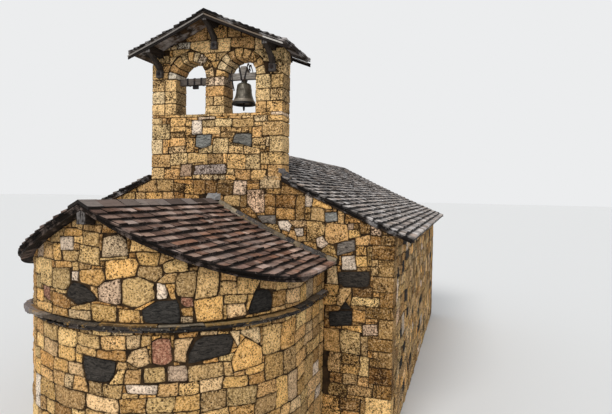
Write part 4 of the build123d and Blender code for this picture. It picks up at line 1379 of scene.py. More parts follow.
def lay_shingles(
    stones, roof, side, span, exposure, widths, tones, dice, cut=None, notch=None, gaps=(0.002, 0.006)
):
    """Rows of shingles on one slope, from the eave up. Each laps the row below and hides its own head."""
    run, xs = slope_table(roof)
    rows = ceil(run[-1] / exposure)
    exposure = run[-1] / rows
    for row in range(rows):
        y = span[0] - dice.uniform(0, widths[1])
        while y < span[1]:
            wide = dice.uniform(*widths)
            y0 = max(y, span[0] + dice.uniform(0, 0.012)) + dice.uniform(*gaps)
            y1 = min(y + wide, span[1] - dice.uniform(0, 0.012)) - dice.uniform(*gaps)
            y += wide
            if y1 - y0 < 0.03:
                continue
            slip = 0 if row == 0 else dice.gauss(0, 0.009)
            foot = run[-1] - row * exposure + min(slip, 0.02)
            head = max(0.0, foot - exposure * 1.75)
            butt_x, head_x = np.interp(min(foot, run[-1] - 0.002), run, xs), np.interp(head, run, xs)
            skew = dice.gauss(0, 0.004)
            outline = facing_up([
                (side * head_x, y0), (side * (butt_x - max(skew, 0)), y0),
                (side * (butt_x + min(skew, 0)), y1), (side * head_x, y1),
            ])
            if notch:
                outline = notch(outline)
            if cut and len(outline) > 2:
                outline = cut(outline, dice)
            if len(outline) < 3 or measure(outline)[0] < 0.0015:
                continue
            lift, twist = dice.uniform(0, 0.005), dice.gauss(0, 0.012)
            middle = (y0 + y1) / 2
            thick = shingle_butt * dice.uniform(0.75, 1.25)

            def share(x, y=0):
                return (np.abs(x) - head_x) / (butt_x - head_x)

            # This share darkens the upper part of each shingle's showing face, under the butt of the row
            # above, as dirt and painted shadow; on the top row, under the ridge boards, the painted shadow
            # reaches further down.
            def dirt_and_row_shadow(x, y):
                return share(x) - (0.16 if row == rows - 1 else 0.0)

            def low(x, y):
                return roof_top(roof, x) - shingle_sink - 0.003 + share(x) * 0.018

            def high(x, y):
                bent = share(x) * (thick + 0.018 + lift + (y - middle) * twist - 0.006)
                return roof_top(roof, x) - shingle_sink + 0.006 + bent

            # The butts and sides of the shingles are painted near black, as the shade in the gaps and under
            # each butt; less at the verge and on the eave row.
            at_verge = y0 < span[0] + 0.02
            lay_slab(
                stones, outline, low, high, dice.choice(tones), dice, arris=0.003, share=dirt_and_row_shadow,
                sides=0.30 if at_verge else 0.75 if row == 0 else 0.05,
            )


def lay_deck(stones, roof, side, ends, board, depth, tones, dice, notch_x=0.0):
    """Deck boards that run beside the ridge, ends (near, far) given for an x."""
    x = 0.0
    while x < roof[2] - 0.02:
        wide = board * dice.uniform(0.8, 1.15)
        if x < notch_x - 0.01:
            wide = min(wide, notch_x - x)
        x0, x1 = x + 0.002, min(x + wide, roof[2] - 0.050) - 0.002
        x += wide
        if x1 - x0 < 0.03:
            continue
        slip = dice.uniform(0.050, 0.066)
        steps = 4
        along = [x0 + (x1 - x0) * step / steps for step in range(steps + 1)]
        near = [(x, ends(x)[0] + slip) for x in along]
        outline = near + [(x1, ends(x1)[1] - slip), (x0, ends(x0)[1] - slip)]
        outline = facing_up([(side * px, py) for px, py in outline])
        lay_slab(
            stones, outline, lambda x, y: roof_top(roof, x) - roof[4] + 0.001,
            lambda x, y: roof_top(roof, x) - roof[4] + depth,
            dice.choice(tones), dice, arris=0.001, share=1.0,
        )


def lay_edge(stones, roof, path, inward, layers, low, high, widths, tones, dice):
    """The broken ends of the layers along an edge of a roof, given as points with inward directions."""
    path = np.array(path, float)
    run = np.concatenate(([0], np.cumsum(np.linalg.norm(np.diff(path[:, :2], axis=0), axis=1))))
    for layer in range(layers):
        foot = low + (high - low) * layer / layers
        head = low + (high - low) * (layer + 1) / layers - 0.002
        along = -dice.uniform(0, widths[0])
        while along < run[-1]:
            wide = dice.uniform(*widths)
            start, stop = max(along, 0) + 0.002, min(along + wide, run[-1]) - 0.002
            along += wide
            if stop - start < 0.03:
                continue
            slip = 0.001 + abs(dice.gauss(0, 0.009)) + (layers - layer) * 0.016
            spots = np.linspace(start, stop, 4)
            outer = [[np.interp(spot, run, path[:, axis]) for axis in range(4)] for spot in spots]
            near = [(px + ix * slip, py + iy * slip) for px, py, ix, iy in outer]
            far = [(px + ix * inward, py + iy * inward) for px, py, ix, iy in outer]
            outline = facing_up(near + far[::-1])
            lay_slab(
                stones, outline, lambda x, y: roof_top(roof, x) + foot,
                lambda x, y: roof_top(roof, x) + head, dice.choice(tones), dice, arris=0.002, share=1.0,
            )


apse_roof_back = corners_of("apse_roof_right")[1][1]
apse_roof_tip = corners_of("apse_roof_right")[0][1]
apse_tones = ((150, 122, 107), (126, 98, 85), (168, 140, 124), (104, 81, 70), (192, 166, 151), (142, 106, 87))
apse_shingles = finished(
    "apse_shingles", shingle_colour(paint(176, 154, 142), paint(16, 11, 9)), 0.85, wood_height(shingle_grain),
    depth=0.008,
)


def apse_cut(outline, dice):
    return round_off(outline, apse_reach - 0.003 - dice.uniform(0, 0.012), apse_centre)


def apse_ends(x):
    reach = apse_reach - 0.006
    return apse_centre - sqrt(max(0.0, reach * reach - x * x)), apse_roof_back - 0.002


for side, name in ((-1, "left"), (1, "right")):
    stones = Stones()
    dice = Random(151 + side)
    lay_shingles(
        stones, apse_roof, side, (apse_roof_tip, apse_roof_back), 0.195,
        (0.15, 0.36), apse_tones, dice, apse_cut,
        gaps=(0.003, 0.009),
    )
    edge_path = [(side * apse_reach, apse_roof_back - 0.002, -side, 0)]
    for step in range(46):
        angle = radians(2 * step)
        x, y = cos(angle), sin(angle)
        edge_path.append((side * apse_reach * x, apse_centre - apse_reach * y, -side * x, y))
    # The layer ends under the eave are painted near black, as shade.
    lay_edge(
        stones, apse_roof, edge_path, 0.30, 3, -apse_roof[4] + 0.034, -shingle_sink + 0.004, (0.12, 0.30),
        ((22, 16, 12), (36, 27, 20), (16, 12, 9)), dice,
    )
    stones.piece(
        f"apse_shingles_{name}", apse_shingles, "apse_shingles", replaced=(f"apse_roof_{name}",), smooth=False
    )
    boards = Stones()
    # The deck boards are painted near black, as the shade under the roof.
    soffit_shade_tones = ((26, 19, 14), (20, 15, 11), (34, 26, 19))
    lay_deck(boards, apse_roof, side, apse_ends, 0.17, 0.033, soffit_shade_tones, dice)
    boards.piece(f"apse_deck_{name}", apse_shingles, "dark_timber", smooth=False)


# Nave roof: greyer shingles, worn pale on their faces, notched round the bell gable. Its verges and eaves
# show two thicknesses over the deck.
nave_front, nave_rear = corners_of("nave_roof_right")[0][1], corners_of("nave_roof_right")[1][1]
notch_x, notch_y = tower_half + proud + 0.004, east_back + proud + 0.004
nave_tones = (
    (184, 173, 165), (162, 151, 143), (198, 188, 180), (140, 130, 122), (212, 202, 194), (172, 157, 146),
    (124, 115, 109),
)
grey_shingles = finished(
    "grey_shingles", shingle_colour(paint(226, 219, 215), paint(18, 15, 13)), 0.85,
    wood_height(shingle_grain), depth=0.008,
)


def round_the_gable(outline):
    """Cuts a shingle round the foot of the bell gable."""
    side = 1 if outline[0][0] + outline[2][0] > 0 else -1
    if min(abs(x) for x, y in outline) > notch_x or min(y for x, y in outline) > notch_y:
        return outline
    middle_x = sum(abs(x) for x, y in outline) / len(outline)
    if middle_x > notch_x and min(y for x, y in outline) < notch_y - 0.02:
        return trim(outline, (side * notch_x, 0), (-side, 0))
    return trim(outline, (0, notch_y), (0, -1))


beside_ridge = 0.003


def edge_paths(side, first_x, eave_x, span):
    """Ways along a slope's front verge, eave and rear verge; each end has the way that points inwards."""
    return (
        [(side * first_x, span[0], 0, 1), (side * eave_x, span[0], 0, 1)],
        [(side * eave_x, span[0], -side, 0), (side * eave_x, span[1], -side, 0)],
        [(side * eave_x, span[1], 0, -1), (side * beside_ridge, span[1], 0, -1)],
    )


def nave_ends(x):
    return (nave_front + 0.003 if x > notch_x - 0.004 else notch_y), nave_rear - 0.003


for side, name in ((-1, "left"), (1, "right")):
    stones = Stones()
    dice = Random(171 + side)
    span = (nave_front + 0.002, nave_rear - 0.002)
    lay_shingles(
        stones, nave_roof, side, span, 0.185, (0.14, 0.30), nave_tones, dice,
        notch=round_the_gable, gaps=(0.004, 0.011),
    )
    for path in edge_paths(side, notch_x, nave_roof[2] - 0.001, span):
        # The layer ends along the verges and eaves are painted near black, as shade.
        lay_edge(
            stones, nave_roof, path, 0.22, 2, -nave_roof[4] + 0.034, -shingle_sink + 0.004, (0.14, 0.30),
            ((26, 22, 20), (18, 15, 14), (40, 34, 31)), dice,
        )
    stones.piece(
        f"nave_shingles_{name}", grey_shingles, "grey_shingles", replaced=(f"nave_roof_{name}",), smooth=False
    )
    boards = Stones()
    # The deck boards are painted dark, as the shade under the roof.
    soffit_shade_tones = ((54, 44, 36), (44, 37, 31), (64, 53, 44))
    lay_deck(boards, nave_roof, side, nave_ends, 0.19, 0.033, soffit_shade_tones, dice, notch_x)
    boards.piece(f"nave_deck_{name}", grey_shingles, "dark_timber", smooth=False)


# Roof over the bell gable: the same shingles, darker and in narrower rows, on a deck of thin boards that
# show from below.
bell_front, bell_rear = corners_of("bell_roof_right")[0][1], corners_of("bell_roof_right")[1][1]
bell_tones = ((76, 68, 63), (90, 82, 76), (62, 55, 50), (112, 103, 97), (52, 46, 43))


def bell_ends(x):
    return bell_front + 0.003, bell_rear - 0.003


for side, name in ((-1, "left"), (1, "right")):
    stones = Stones()
    dice = Random(191 + side)
    span = (bell_front + 0.002, bell_rear - 0.002)
    lay_shingles(stones, bell_roof, side, span, 0.165, (0.12, 0.26), bell_tones, dice)
    for path in edge_paths(side, beside_ridge, bell_roof[2] - 0.001, span):
        lay_edge(
            stones, bell_roof, path, 0.16, 1, -bell_roof[4] + 0.030, -shingle_sink + 0.004, (0.12, 0.26),
            ((44, 38, 34), (60, 52, 46)), dice,
        )
    stones.piece(
        f"bell_roof_shingles_{name}", grey_shingles, "grey_shingles",
        replaced=(f"bell_roof_{name}",), smooth=False,
    )
    boards = Stones()
    # The deck boards are painted dark, as the shade under the roof.
    soffit_shade_tones = ((52, 40, 28), (66, 52, 36), (42, 33, 25), (84, 66, 46))
    lay_deck(boards, bell_roof, side, bell_ends, 0.15, 0.029, soffit_shade_tones, dice)
    boards.piece(f"bell_roof_deck_{name}", grey_shingles, "dark_timber", smooth=False)


# Ridge boards: a pair of weathered boards over each ridge, in lengths that meet end to end. On the apse
# their front ends follow the round eave.
ridge_board_half = corners_of("apse_ridge_cap")[1][0]
ridge_board_rise = corners_of("nave_ridge_cap")[1][2] - nave_roof[0]


def ridge_wood_colour(tree):
    tint = own_tint(tree)["Color"]
    grain = use_group(tree, wood_grain, Places=object_places(tree, (20, 1.2, 20)))
    toned = shaded(tree, tint, grain["Grain"], grey(0.6), grey(1.2))
    return mix(tree, grain["Checks"], toned, paint(48, 42, 38))


ridge_wood = finished("ridge_boards", ridge_wood_colour, 0.85, wood_height((20, 1.2, 20)), depth=0.008)
for name, roof, tones in (
    ("nave", nave_roof, ((128, 120, 115), (112, 105, 100), (146, 138, 132))),
    ("apse", apse_roof, ((112, 97, 89), (88, 76, 70), (134, 121, 113), (74, 62, 56), (150, 138, 130))),
    ("bell_roof", bell_roof, ((72, 64, 58), (88, 80, 74))),
):
    low, high = corners_of(f"{name}_ridge_cap")
    stones = Stones()
    dice = Random(211)
    for side in (-1, 1):
        y = low[1]
        while y < high[1] - 0.05:
            long = dice.uniform(0.22, 0.62)
            if high[1] - y - long < 0.2:
                long = high[1] - y
            x0, x1 = 0.0, ridge_board_half - dice.uniform(0, 0.010)
            y0, y1 = y + 0.004, y + long - 0.004
            y += long
            slant = dice.uniform(-0.03, 0.03) if y < high[1] else 0.0
            outline = [(x0, y0), (x1, y0), (x1, y1), (x0, min(y1 + slant, high[1]))]
            if name == "apse":
                reach = apse_reach - 0.003
                round_y = apse_centre - sqrt(reach ** 2 - x1 ** 2)
                outline[:2] = [(x0, max(y0, apse_centre - reach)), (x1, max(y0, round_y))]
            outline = facing_up([(side * px, py) for px, py in outline])
            lift = dice.uniform(-0.008, 0) + (0.012 if name == "apse" else 0)
            # Their sides are painted near black, which stands for the shadow line under the ridge boards.
            lay_slab(
                stones, outline, lambda x, y: roof_top(roof, x) - 0.012,
                lambda x, y: roof_top(roof, x) + ridge_board_rise + lift,
                dice.choice(tones), dice, arris=0.004, sides=0.08,
            )
    slot = "apse_shingles" if name == "apse" else "grey_shingles"
    stones.piece(f"{name}_ridge_boards", ridge_wood, slot, replaced=(f"{name}_ridge_cap",), smooth=False)


# Timbers: purlins, beams and knee braces of old dark oak, silvery on the weathered ends. Each is a
# copy of its plain shape, its faces made whole and its corners worn.
merge_distance = 0.0002


def pick(thing):
    """Makes one object the only selected and active one."""
    bpy.ops.object.select_all(action="DESELECT")
    thing.select_set(True)
    bpy.context.view_layer.objects.active = thing


def settle(thing, material, body="chapel", replaced=()):
    """Ends a piece that was made by hand."""
    thing.data.materials.clear()
    thing.data.materials.append(material)
    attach(thing, body)
    if replaced:
        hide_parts(*replaced)


@contextmanager
def editing():
    """Edit mode on the active object, with all of it selected."""
    bpy.ops.object.mode_set(mode="EDIT")
    bpy.ops.mesh.select_all(action="SELECT")
    yield
    bpy.ops.object.mode_set(mode="OBJECT")


def apply_place():
    """Moves the active object's place and turn into its mesh."""
    bpy.ops.object.transform_apply(location=True, rotation=True, scale=True)


def join_up(parts, name, material, body, angle=35):
    """Ends a piece that was made by hand from several parts."""
    pick(parts[0])
    for part in parts:
        part.select_set(True)
    bpy.ops.object.join()
    made = bpy.context.object
    apply_place()
    made.name = name
    bpy.ops.object.shade_smooth_by_angle(angle=radians(angle))
    settle(made, material, body)


def worked_copy(name, node, worn, material, body="chapel"):
    """A copy of a plain piece with worn corners, which takes its place."""
    made = bpy.data.objects.new(name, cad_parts[node].data.copy())
    bpy.context.scene.collection.objects.link(made)
    pick(made)
    with editing():
        bpy.ops.mesh.remove_doubles(threshold=merge_distance)
        bpy.ops.mesh.dissolve_limited(angle_limit=radians(2))
        bpy.ops.mesh.normals_make_consistent(inside=False)
    wear = made.modifiers.new("worn corners", "BEVEL")
    wear.width, wear.segments, wear.limit_method, wear.angle_limit = worn, 2, "ANGLE", radians(30)
    bpy.ops.object.modifier_apply(modifier=wear.name)
    bpy.ops.object.shade_smooth_by_angle(angle=radians(35))
    settle(made, material, body, (node,))
    return made


def timber(name, dark, pale, ends, scale, along=1):
    """Old timber that runs along an axis: dark and pale fibres, black checks and silvery end grain."""

    def colour(tree):
        grain = use_group(tree, wood_grain, Places=object_places(tree, scale))
        body = mix(tree, grain["Checks"], mix(tree, grain["Grain"], dark, pale), paint(14, 11, 9))
        normal = put(tree, "ShaderNodeNewGeometry").outputs["True Normal"]
        facing = put(tree, "ShaderNodeSeparateXYZ", Vector=normal)
        end = spread(tree, sums(tree, "ABSOLUTE", facing.outputs[along], 0.0), 0.90, 0.96)
        rings = clouds(tree, object_places(tree, (4, 4, 1)), 16.0, 3.0)
        sawn = mix(tree, spread(tree, rings, 0.40, 0.60), paint(38, 33, 30), ends)
        return mix(tree, end, body, sawn)

    return finished(name, colour, 0.86, wood_height(scale), depth=0.007)


beam_oak = timber("beam_oak", paint(22, 17, 14), paint(62, 52, 44), paint(112, 106, 102), (18, 1.4, 18))
brace_oak = timber("brace_oak", paint(20, 17, 15), paint(84, 75, 68), paint(58, 50, 45), (20, 3, 3))
worked_copy("bell_gable_purlins", "bell_roof_purlins", 0.010, beam_oak)
worked_copy("knee_braces", "bell_roof_struts", 0.008, brace_oak)
worked_copy("nave_roof_beams", "nave_beams", 0.010, beam_oak)
worked_copy("apse_beam", "apse_ridge_beam", 0.010, beam_oak)


# Verges of the bell gable: under the shingles a thin board with a bleached edge, and set back below it a
# board painted near black, as the shade under the pale one. The lower right end has been renewed with a paler
# strip.
verge_oak = finished("verge_oak", ridge_wood_colour, 0.85, wood_height((2, 20, 14)), depth=0.005)
stones = Stones()
dice = Random(223)
verge_low, verge_high = corners_of("bell_verge_boards")
verge_depth, verge_thick = 0.085, 0.030
for outer, inner in (
    (verge_low[1], verge_low[1] + verge_thick),
    (verge_high[1], verge_high[1] - verge_thick),
):
    for side in (-1, 1):
        for part, (x0, x1, top, foot, tone, set_back) in enumerate((
            (0.002, bell_roof[2] - 0.002, 0.001, 0.030, (150, 142, 134), 0.0),
            # The lower board's near black tone is painted shade.
            (0.002, bell_roof[2] - 0.004, 0.030, verge_depth, (34, 29, 26), 0.012),
        )):
            pieces = [(x0, x1, tone)]
            if side > 0 and part == 0:
                pieces = [
                    (x0, 1.36, (122, 108, 94)),
                    (1.362, 1.80, (186, 180, 172)),
                    (1.802, x1, (46, 40, 36)),
                ]
            for start, stop, tint in pieces:
                face = outer + (inner - outer) * set_back / verge_thick
                xs = np.linspace(start, stop, max(2, round((stop - start) / 0.2)))
                outline = [(side * x, min(face, inner)) for x in xs]
                outline += [(side * x, max(face, inner)) for x in xs[::-1]]
                lay_slab(
                    stones, facing_up(outline), lambda x, y: roof_top(bell_roof, x) - bell_roof[4] - foot,
                    lambda x, y: roof_top(bell_roof, x) - bell_roof[4] - top, tint, dice, arris=0.002,
                )
stones.piece("verge_boards", verge_oak, "dark_timber", replaced=("bell_verge_boards",), smooth=False)


# Irons: blackened forged iron, rusty in places, for straps, bands, nuts and bearings; and the greyer
# shoes of the knee braces, each held by a square nut on a round washer.
def iron_colour(dark, rust, amount):
    def colour(tree):
        cloud = clouds(tree, object_places(tree), 16.0, 6.0, Roughness=0.7)
        return mix(tree, spread(tree, cloud, 0.66 - amount, 0.76 - amount), dark, rust)

    return colour


def iron_height(tree):
    return clouds(tree, object_places(tree), 55.0, 5.0)


forged_iron = finished(
    "forged_iron", iron_colour(paint(34, 32, 33), paint(84, 56, 38), 0.12), 0.58, iron_height,
    depth=0.003, Metallic=0.75, Specular_IOR_Level=0.5,
)
shoe_iron = finished(
    "shoe_iron", iron_colour(paint(82, 77, 74), paint(50, 43, 38), 0.16), 0.70, iron_height,
    depth=0.003, Metallic=0.3,
)
worked_copy("knee_brace_shoes", "bell_strut_shoes", 0.012, shoe_iron)


def add_nuts(name, places, size, thick, body):
    """Square iron nuts, each on a round washer, at places given with the way along y that they face."""
    parts, turn = [], (pi / 2, 0, 0)
    for spot, way in places:
        outward = Vector((0, way, 0))
        for corners, radius, reach, twist in ((20, size, thick * 0.3, 0), (4, size * 0.72, thick, pi / 4)):
            bpy.ops.mesh.primitive_cylinder_add(
                vertices=corners, radius=radius, depth=reach,
                location=Vector(spot) + outward * reach / 2, rotation=turn,
            )
            parts.append(bpy.context.object)
            apply_place()
            with editing():
                if twist:
                    bpy.ops.transform.rotate(value=twist, orient_axis="Y", center_override=Vector(spot))
                bpy.ops.mesh.bevel(offset=size * 0.08, segments=1)
    join_up(parts, name, forged_iron, body)


shoe_low, shoe_high = corners_of("bell_strut_shoes")
purlin_x = corners_of("bell_roof_purlins")[1][0] - 0.065
shoe_tall = 0.170
shoe_places = []
for x in (-purlin_x, 0, purlin_x):
    foot = shoe_low[2] if x else shoe_high[2] - shoe_tall
    for face, way in ((shoe_low[1], -1), (shoe_high[1], 1)):
        shoe_places.append(((x, face, foot + shoe_tall * 0.52), way))
add_nuts("shoe_nuts", shoe_places, 0.044, 0.016, "chapel")


# Bearings: iron plates let into the reveals, which stand a little out of the stones so that the
# gudgeons' holes show.
plate_out = 0.013
bearings = worked_copy("bearing_plates", "bell_bearings", 0.003, forged_iron)
pick(bearings)
bpy.ops.object.mode_set(mode="EDIT")
bpy.ops.mesh.select_all(action="DESELECT")
for face, way in ((opening_near, 1), (opening_far, -1)):
    bpy.ops.object.mode_set(mode="OBJECT")
    for vertex in bearings.data.vertices:
        vertex.select = abs(vertex.co.x - face) < 0.005
    bpy.ops.object.mode_set(mode="EDIT")
    bpy.ops.transform.translate(value=(way * plate_out, 0, 0))
bpy.ops.object.mode_set(mode="OBJECT")


# Bell: turned bronze with a hollow waist, a raised band and rings, a heavy lip and a domed crown with
# four loops that the irons pass through.
def bronze_colour(tree):
    places = object_places(tree)
    cloud = clouds(tree, places, 7.0, 7.0, Roughness=0.65)
    streak = clouds(tree, object_places(tree, (14, 14, 1.5)), 2.0, 4.0)
    base = mix(tree, spread(tree, cloud, 0.35, 0.65), paint(56, 51, 41), paint(98, 91, 78))
    streaked = mix(tree, spread(tree, streak, 0.54, 0.66, 0.0, 0.6), base, paint(136, 128, 114))
    height = put(tree, "ShaderNodeSeparateXYZ", Vector=places).outputs[2]
    band = mix(tree, spread(tree, height, bell_lip + 0.052, bell_lip + 0.060), paint(30, 27, 24), streaked)
    above = spread(tree, height, bell_lip + 0.125, bell_lip + 0.115)
    waist = sums(tree, "MULTIPLY", above, spread(tree, height, bell_lip + 0.052, bell_lip + 0.060))
    worn = mix(tree, waist, band, paint(132, 122, 108))
    crown = spread(tree, height, bell_lip + 0.40, bell_lip + 0.46, 0.0, 0.7)
    return mix(tree, crown, worn, paint(62, 58, 42))


def bronze_height(tree):
    return clouds(tree, object_places(tree), 30.0, 5.0)


bell_low, bell_high = corners_of("bell")
bell_lip = bell_low[2]
bell_x, bell_y = (bell_low[0] + bell_high[0]) / 2, (bell_low[1] + bell_high[1]) / 2
bronze = finished(
    "bronze", bronze_colour, 0.5, bronze_height, depth=0.002, Metallic=0.55, Specular_IOR_Level=0.5
)


def turned(name, profile, centre, steps, material, body, replaced=()):
    """A piece turned about an upright line through a centre, from its radii and heights."""
    mesh = bpy.data.meshes.new(name)
    spots = [(centre[0] + radius, centre[1], height) for radius, height in profile]
    mesh.from_pydata(spots, [(spot, spot + 1) for spot in range(len(spots) - 1)], [])
    made = bpy.data.objects.new(name, mesh)
    bpy.context.scene.collection.objects.link(made)
    pick(made)
    with editing():
        bpy.ops.mesh.spin(steps=steps, angle=2 * pi, center=(centre[0], centre[1], 0), axis=(0, 0, 1))
        bpy.ops.mesh.select_all(action="SELECT")
        bpy.ops.mesh.remove_doubles(threshold=merge_distance)
        bpy.ops.mesh.normals_make_consistent(inside=False)
    bpy.ops.object.shade_smooth_by_angle(angle=radians(40))
    settle(made, material, body, replaced)


def hollow_line(low, high, count, bow):
    """Points between two radii and heights, bowed inwards."""
    made = []
    for step in range(count + 1):
        share = step / count
        radius = low[0] + (high[0] - low[0]) * share - bow * 4 * share * (1 - share)
        made.append((radius, low[1] + (high[1] - low[1]) * share))
    return made


bell_tall = 0.490
bell_outer = [(0.234, 0.0), (0.246, -0.0), (0.262, 0.001), (0.270, 0.006), (0.271, 0.016)]
bell_outer += [(0.266, 0.028), (0.256, 0.042)]
bell_outer += [(0.2475, 0.0545), (0.2510, 0.0570), (0.2520, 0.0640), (0.2495, 0.0710), (0.2440, 0.0735)]
bell_outer += [(0.2395, 0.0800), (0.2410, 0.0835), (0.2400, 0.0870), (0.2355, 0.0890)]
bell_outer += hollow_line((0.2290, 0.104), (0.1720, 0.318), 12, 0.0125)
bell_outer += [(0.1745, 0.3205), (0.1750, 0.3265), (0.1700, 0.3290), (0.1690, 0.3400)]
bell_outer += [(0.1710, 0.3425), (0.1700, 0.3480)]
bell_outer += hollow_line((0.1670, 0.352), (0.1585, 0.418), 4, 0.001)
bell_outer += [(0.1550, 0.436), (0.1470, 0.452), (0.1330, 0.466), (0.1130, 0.477)]
bell_outer += [(0.0890, 0.484), (0.0620, 0.488), (0.0, bell_tall)]
bell_inner = [(0.0, 0.440), (0.070, 0.438), (0.112, 0.428), (0.130, 0.400)]
bell_inner += hollow_line((0.138, 0.350), (0.186, 0.150), 6, 0.008)
bell_inner += [(0.206, 0.070), (0.226, 0.020), (0.234, 0.0)]
profile = [(radius, bell_lip + height) for radius, height in bell_outer[1:] + bell_inner]
turned("turned_bell", profile, (bell_x, bell_y), 72, bronze, "bell_set", ("bell",))

crown_top, headstock_foot = bell_lip + bell_tall, bell_high[2]
loop_cut, loop_thick, boss_size = crown_top - 0.006, 0.014, 0.05
parts = []
for shift, turn, wide in (
    ((-0.036, 0), 0, 0.044),
    ((0.036, 0), 0, 0.044),
    ((0, -0.034), pi / 2, 0.040),
    ((0, 0.034), pi / 2, 0.040),
):
    bpy.ops.mesh.primitive_torus_add(
        major_segments=28, minor_segments=10, major_radius=wide, minor_radius=loop_thick,
        location=(bell_x + shift[0], bell_y + shift[1], crown_top + 0.006),
        rotation=(pi / 2, 0, turn + pi / 2),
    )
    parts.append(bpy.context.object)
    apply_place()
    with editing():
        bpy.ops.mesh.bisect(plane_co=(0, 0, loop_cut), plane_no=(0, 0, -1), clear_outer=True, use_fill=True)
        bpy.ops.mesh.select_all(action="SELECT")
        bpy.ops.transform.resize(value=(1, 1, 1.06), center_override=(0, 0, loop_cut))
bpy.ops.mesh.primitive_cube_add(size=boss_size, location=(bell_x, bell_y, crown_top + 0.028))
parts.append(bpy.context.object)
apply_place()
with editing():
    boss_stretch = (headstock_foot - crown_top) / boss_size - 0.02
    bpy.ops.transform.resize(value=(1, 1, boss_stretch), center_override=(bell_x, bell_y, crown_top))
    bpy.ops.mesh.bevel(offset=0.008, segments=2)
join_up(parts, "bell_crown_loops", bronze, "bell_set", 40)


# Headstock of the bell: pale cracked oak on iron gudgeons, with a band at each end, the splayed straps
# that carry the bell and the lever it is rung by.
pale_oak = timber(
    "pale_oak", paint(80, 72, 64), paint(176, 168, 158), paint(140, 132, 122), (1.6, 20, 20), along=0
)
worked_copy("headstock", "bell_headstock", 0.006, pale_oak, "bell_set")
worked_copy("hanging_straps", "headstock_straps", 0.002, forged_iron, "bell_set")
worked_copy("ringing_lever", "bell_lever", 0.003, forged_iron, "bell_set")
stock_low, stock_high = corners_of("bell_headstock")
stock_half = opening_far - bell_x - 0.030
axis_z = stock_low[2] + 0.070


def forged_bar(size, middle, arris, segments):
    """A bar of a size round its middle, with worn edges."""
    bpy.ops.mesh.primitive_cube_add(size=1)
    made = bpy.context.object
    with editing():
        bpy.ops.transform.resize(value=size)
        bpy.ops.transform.translate(value=middle)
        bpy.ops.mesh.bevel(offset=arris, segments=segments)
    return made


def iron_band(x, wide, thick, low, high):
    """A flat band round a squared timber, between its lower and upper corners in y and z."""
    size = (wide, high[0] - low[0] + 2 * thick, high[1] - low[1] + 2 * thick)
    return forged_bar(size, (x, (low[0] + high[0]) / 2, (low[1] + high[1]) / 2), thick * 0.4, 2)


def forged_ring(place, radius, thick, segments, turn, stretch):
    """A ring round a place, turned and then stretched along the axes."""
    bpy.ops.mesh.primitive_torus_add(
        major_segments=segments[0], minor_segments=segments[1], major_radius=radius, minor_radius=thick,
        location=place, rotation=turn,
    )
    made = bpy.context.object
    apply_place()
    with editing():
        bpy.ops.transform.resize(value=stretch, center_override=place)
    return made


band_low, band_high = (stock_low[1], axis_z - 0.070), (stock_high[1], axis_z + 0.070)
bands = [
    iron_band(bell_x + side * (stock_half - 0.040), 0.034, 0.006, band_low, band_high)
    for side in (-1, 1)
]
join_up(bands, "headstock_bands", forged_iron, "bell_set")
strap_low, strap_high = corners_of("headstock_straps")
nut_places = []
for face, way in ((strap_low[1], -1), (strap_high[1], 1)):
    for side in (-1, 1):
        nut_places.append(((bell_x + side * 0.047, face, axis_z - 0.050), way))
        nut_places.append(((bell_x + side * 0.088, face, axis_z + 0.120), way))
add_nuts("strap_nuts", nut_places, 0.019, 0.014, "bell_set")


# Clapper: a forged rod with an eye, an oval ball and a tail that tapers to a blunt point below the lip.
# It is a body of its own.
clapper_low, clapper_high = corners_of("clapper")
pivot = clapper_high[2] - 0.022
tail_foot, ball_z = clapper_low[2], bell_lip + 0.070
profile = [(0.0, pivot - 0.012), (0.013, pivot - 0.014), (0.011, pivot - 0.045), (0.0115, ball_z + 0.075)]
profile += [(0.014, ball_z + 0.052), (0.026, ball_z + 0.038), (0.036, ball_z + 0.020), (0.040, ball_z)]
profile += [(0.039, ball_z - 0.020), (0.030, ball_z - 0.038), (0.018, ball_z - 0.050)]
profile += [(0.015, ball_z - 0.070), (0.016, bell_lip - 0.030), (0.024, bell_lip - 0.052)]
profile += [(0.0235, bell_lip - 0.080), (0.018, bell_lip - 0.108), (0.012, tail_foot + 0.003)]
profile += [(0.0, tail_foot)]
turned(
    "turned_clapper", profile, (bell_x, bell_y), 28, forged_iron, "clapper_body", ("clapper",)
)
eye_ring = forged_ring((bell_x, bell_y, pivot), 0.0165, 0.0055, (32, 12), (0, pi / 2, 0), (1.8, 1, 1))
eye_ring.name = "clapper_eye"
bpy.ops.object.shade_smooth_by_angle(angle=radians(40))
settle(eye_ring, forged_iron, "clapper_body")


# Empty headstock in the left-hand opening, whose bell is missing: a grey timber with the irons that
# the bell hung from.
grey_oak = timber(
    "grey_oak", paint(44, 38, 34), paint(128, 118, 110), paint(84, 76, 70), (1.6, 20, 20), along=0
)
worked_copy("left_headstock", "empty_headstock", 0.006, grey_oak)
worked_copy("left_headstock_irons", "empty_headstock_irons", 0.003, forged_iron)


# Door: upright boards held by two long strap hinges with forged nails, and a ring to pull it by. It
# is shut and doesn't move.
def door_colour(tree):
    tint = own_tint(tree)["Color"]
    grain = use_group(tree, wood_grain, Places=object_places(tree, (22, 22, 1.4)))
    toned = shaded(tree, tint, grain["Grain"], grey(0.55), grey(1.25))
    return mix(tree, grain["Checks"], toned, paint(24, 18, 14))


door_wood = finished("door_wood", door_colour, 0.8, wood_height((22, 22, 1.4)), depth=0.005)
door_low, door_high = corners_of("door_leaf")


def door_place(points):
    """Places given as x, height and y."""
    return points[:, (0, 2, 1)]


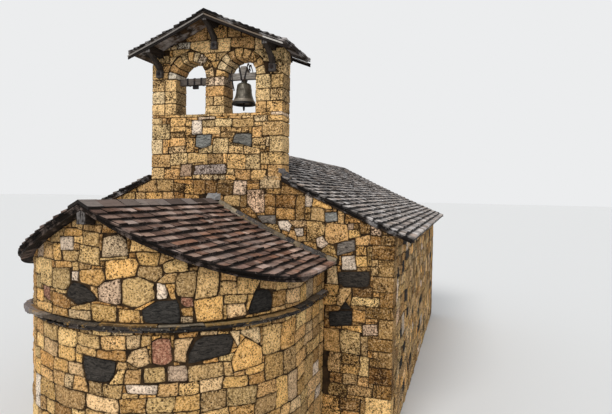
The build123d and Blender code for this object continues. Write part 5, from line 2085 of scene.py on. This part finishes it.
stones = Stones()
dice = Random(241)
boards = 8
for board in range(boards):
    x0 = -door_half + 2 * door_half * board / boards + 0.002
    x1 = x0 + 2 * door_half / boards - 0.004
    outline = [(x0, door_low[2]), (x1, door_low[2]), (x1, door_high[2]), (x0, door_high[2])]
    for step in range(1, 24):
        angle = pi * step / 24
        outward = (cos(angle), sin(angle))
        if len(outline) > 2:
            point = (door_half * outward[0], door_springing + door_half * outward[1])
            outline = trim(outline, point, outward)
    back = dice.uniform(0.0, 0.004)
    lay_slab(
        stones, outline[::-1], at_level(door_low[1]), at_level(door_high[1] - 0.010 - back),
        dice.choice(((96, 72, 50), (84, 62, 44), (108, 82, 58))), dice, door_place, arris=0.004,
    )
stones.piece("door_boards", door_wood, "door_boards", replaced=("door_leaf",), smooth=False)
hinge_heights, ring_x, ring_height = (0.75, 1.75), 0.36, 1.20
parts = [
    forged_bar((0.86, 0.010, 0.055), (-0.105, door_high[1] - 0.006, height), 0.003, 1)
    for height in hinge_heights
]
ring_place = (ring_x, door_high[1] - 0.008, ring_height)
parts.append(forged_ring(ring_place, 0.050, 0.007, (28, 8), (pi / 2, 0, 0), (1, 0.8, 1.08)))
join_up(parts, "door_straps", forged_iron, "chapel")
nail_places = [
    ((-0.47 + 0.16 * nail, door_high[1] - 0.002, height), 1) for height in hinge_heights for nail in range(5)
]
nail_places.append(((ring_x, door_high[1] - 0.012, ring_height + 0.06), 1))
add_nuts("door_nails", nail_places, 0.012, 0.007, "chapel")


# Floors: worn flagstones over the nave and the apse. Their joints are in the material, because the
# floors stay the frame's own nodes.
def flag_colour(tree):
    places = object_places(tree)
    flags = put(
        tree, "ShaderNodeTexBrick", Vector=places, Scale=1.6,
        Mortar_Size=0.012, Brick_Width=0.9, Row_Height=0.6,
    )
    for socket, tone in (("Color1", (150, 138, 120)), ("Color2", (126, 116, 102)), ("Mortar", (60, 52, 42))):
        flags.inputs[socket].default_value = paint(*tone)
    cloud = clouds(tree, places, 5.0, 6.0)
    return shaded(tree, flags.outputs[0], cloud, grey(0.7), grey(1.15))


def flag_height(tree):
    return clouds(tree, object_places(tree), 20.0, 6.0)


flagstone = finished("flagstones", flag_colour, 0.8, flag_height, depth=0.006)
cover(("nave_floor", "apse_floor"), flagstone)


bpy.ops.object.select_all(action="DESELECT")
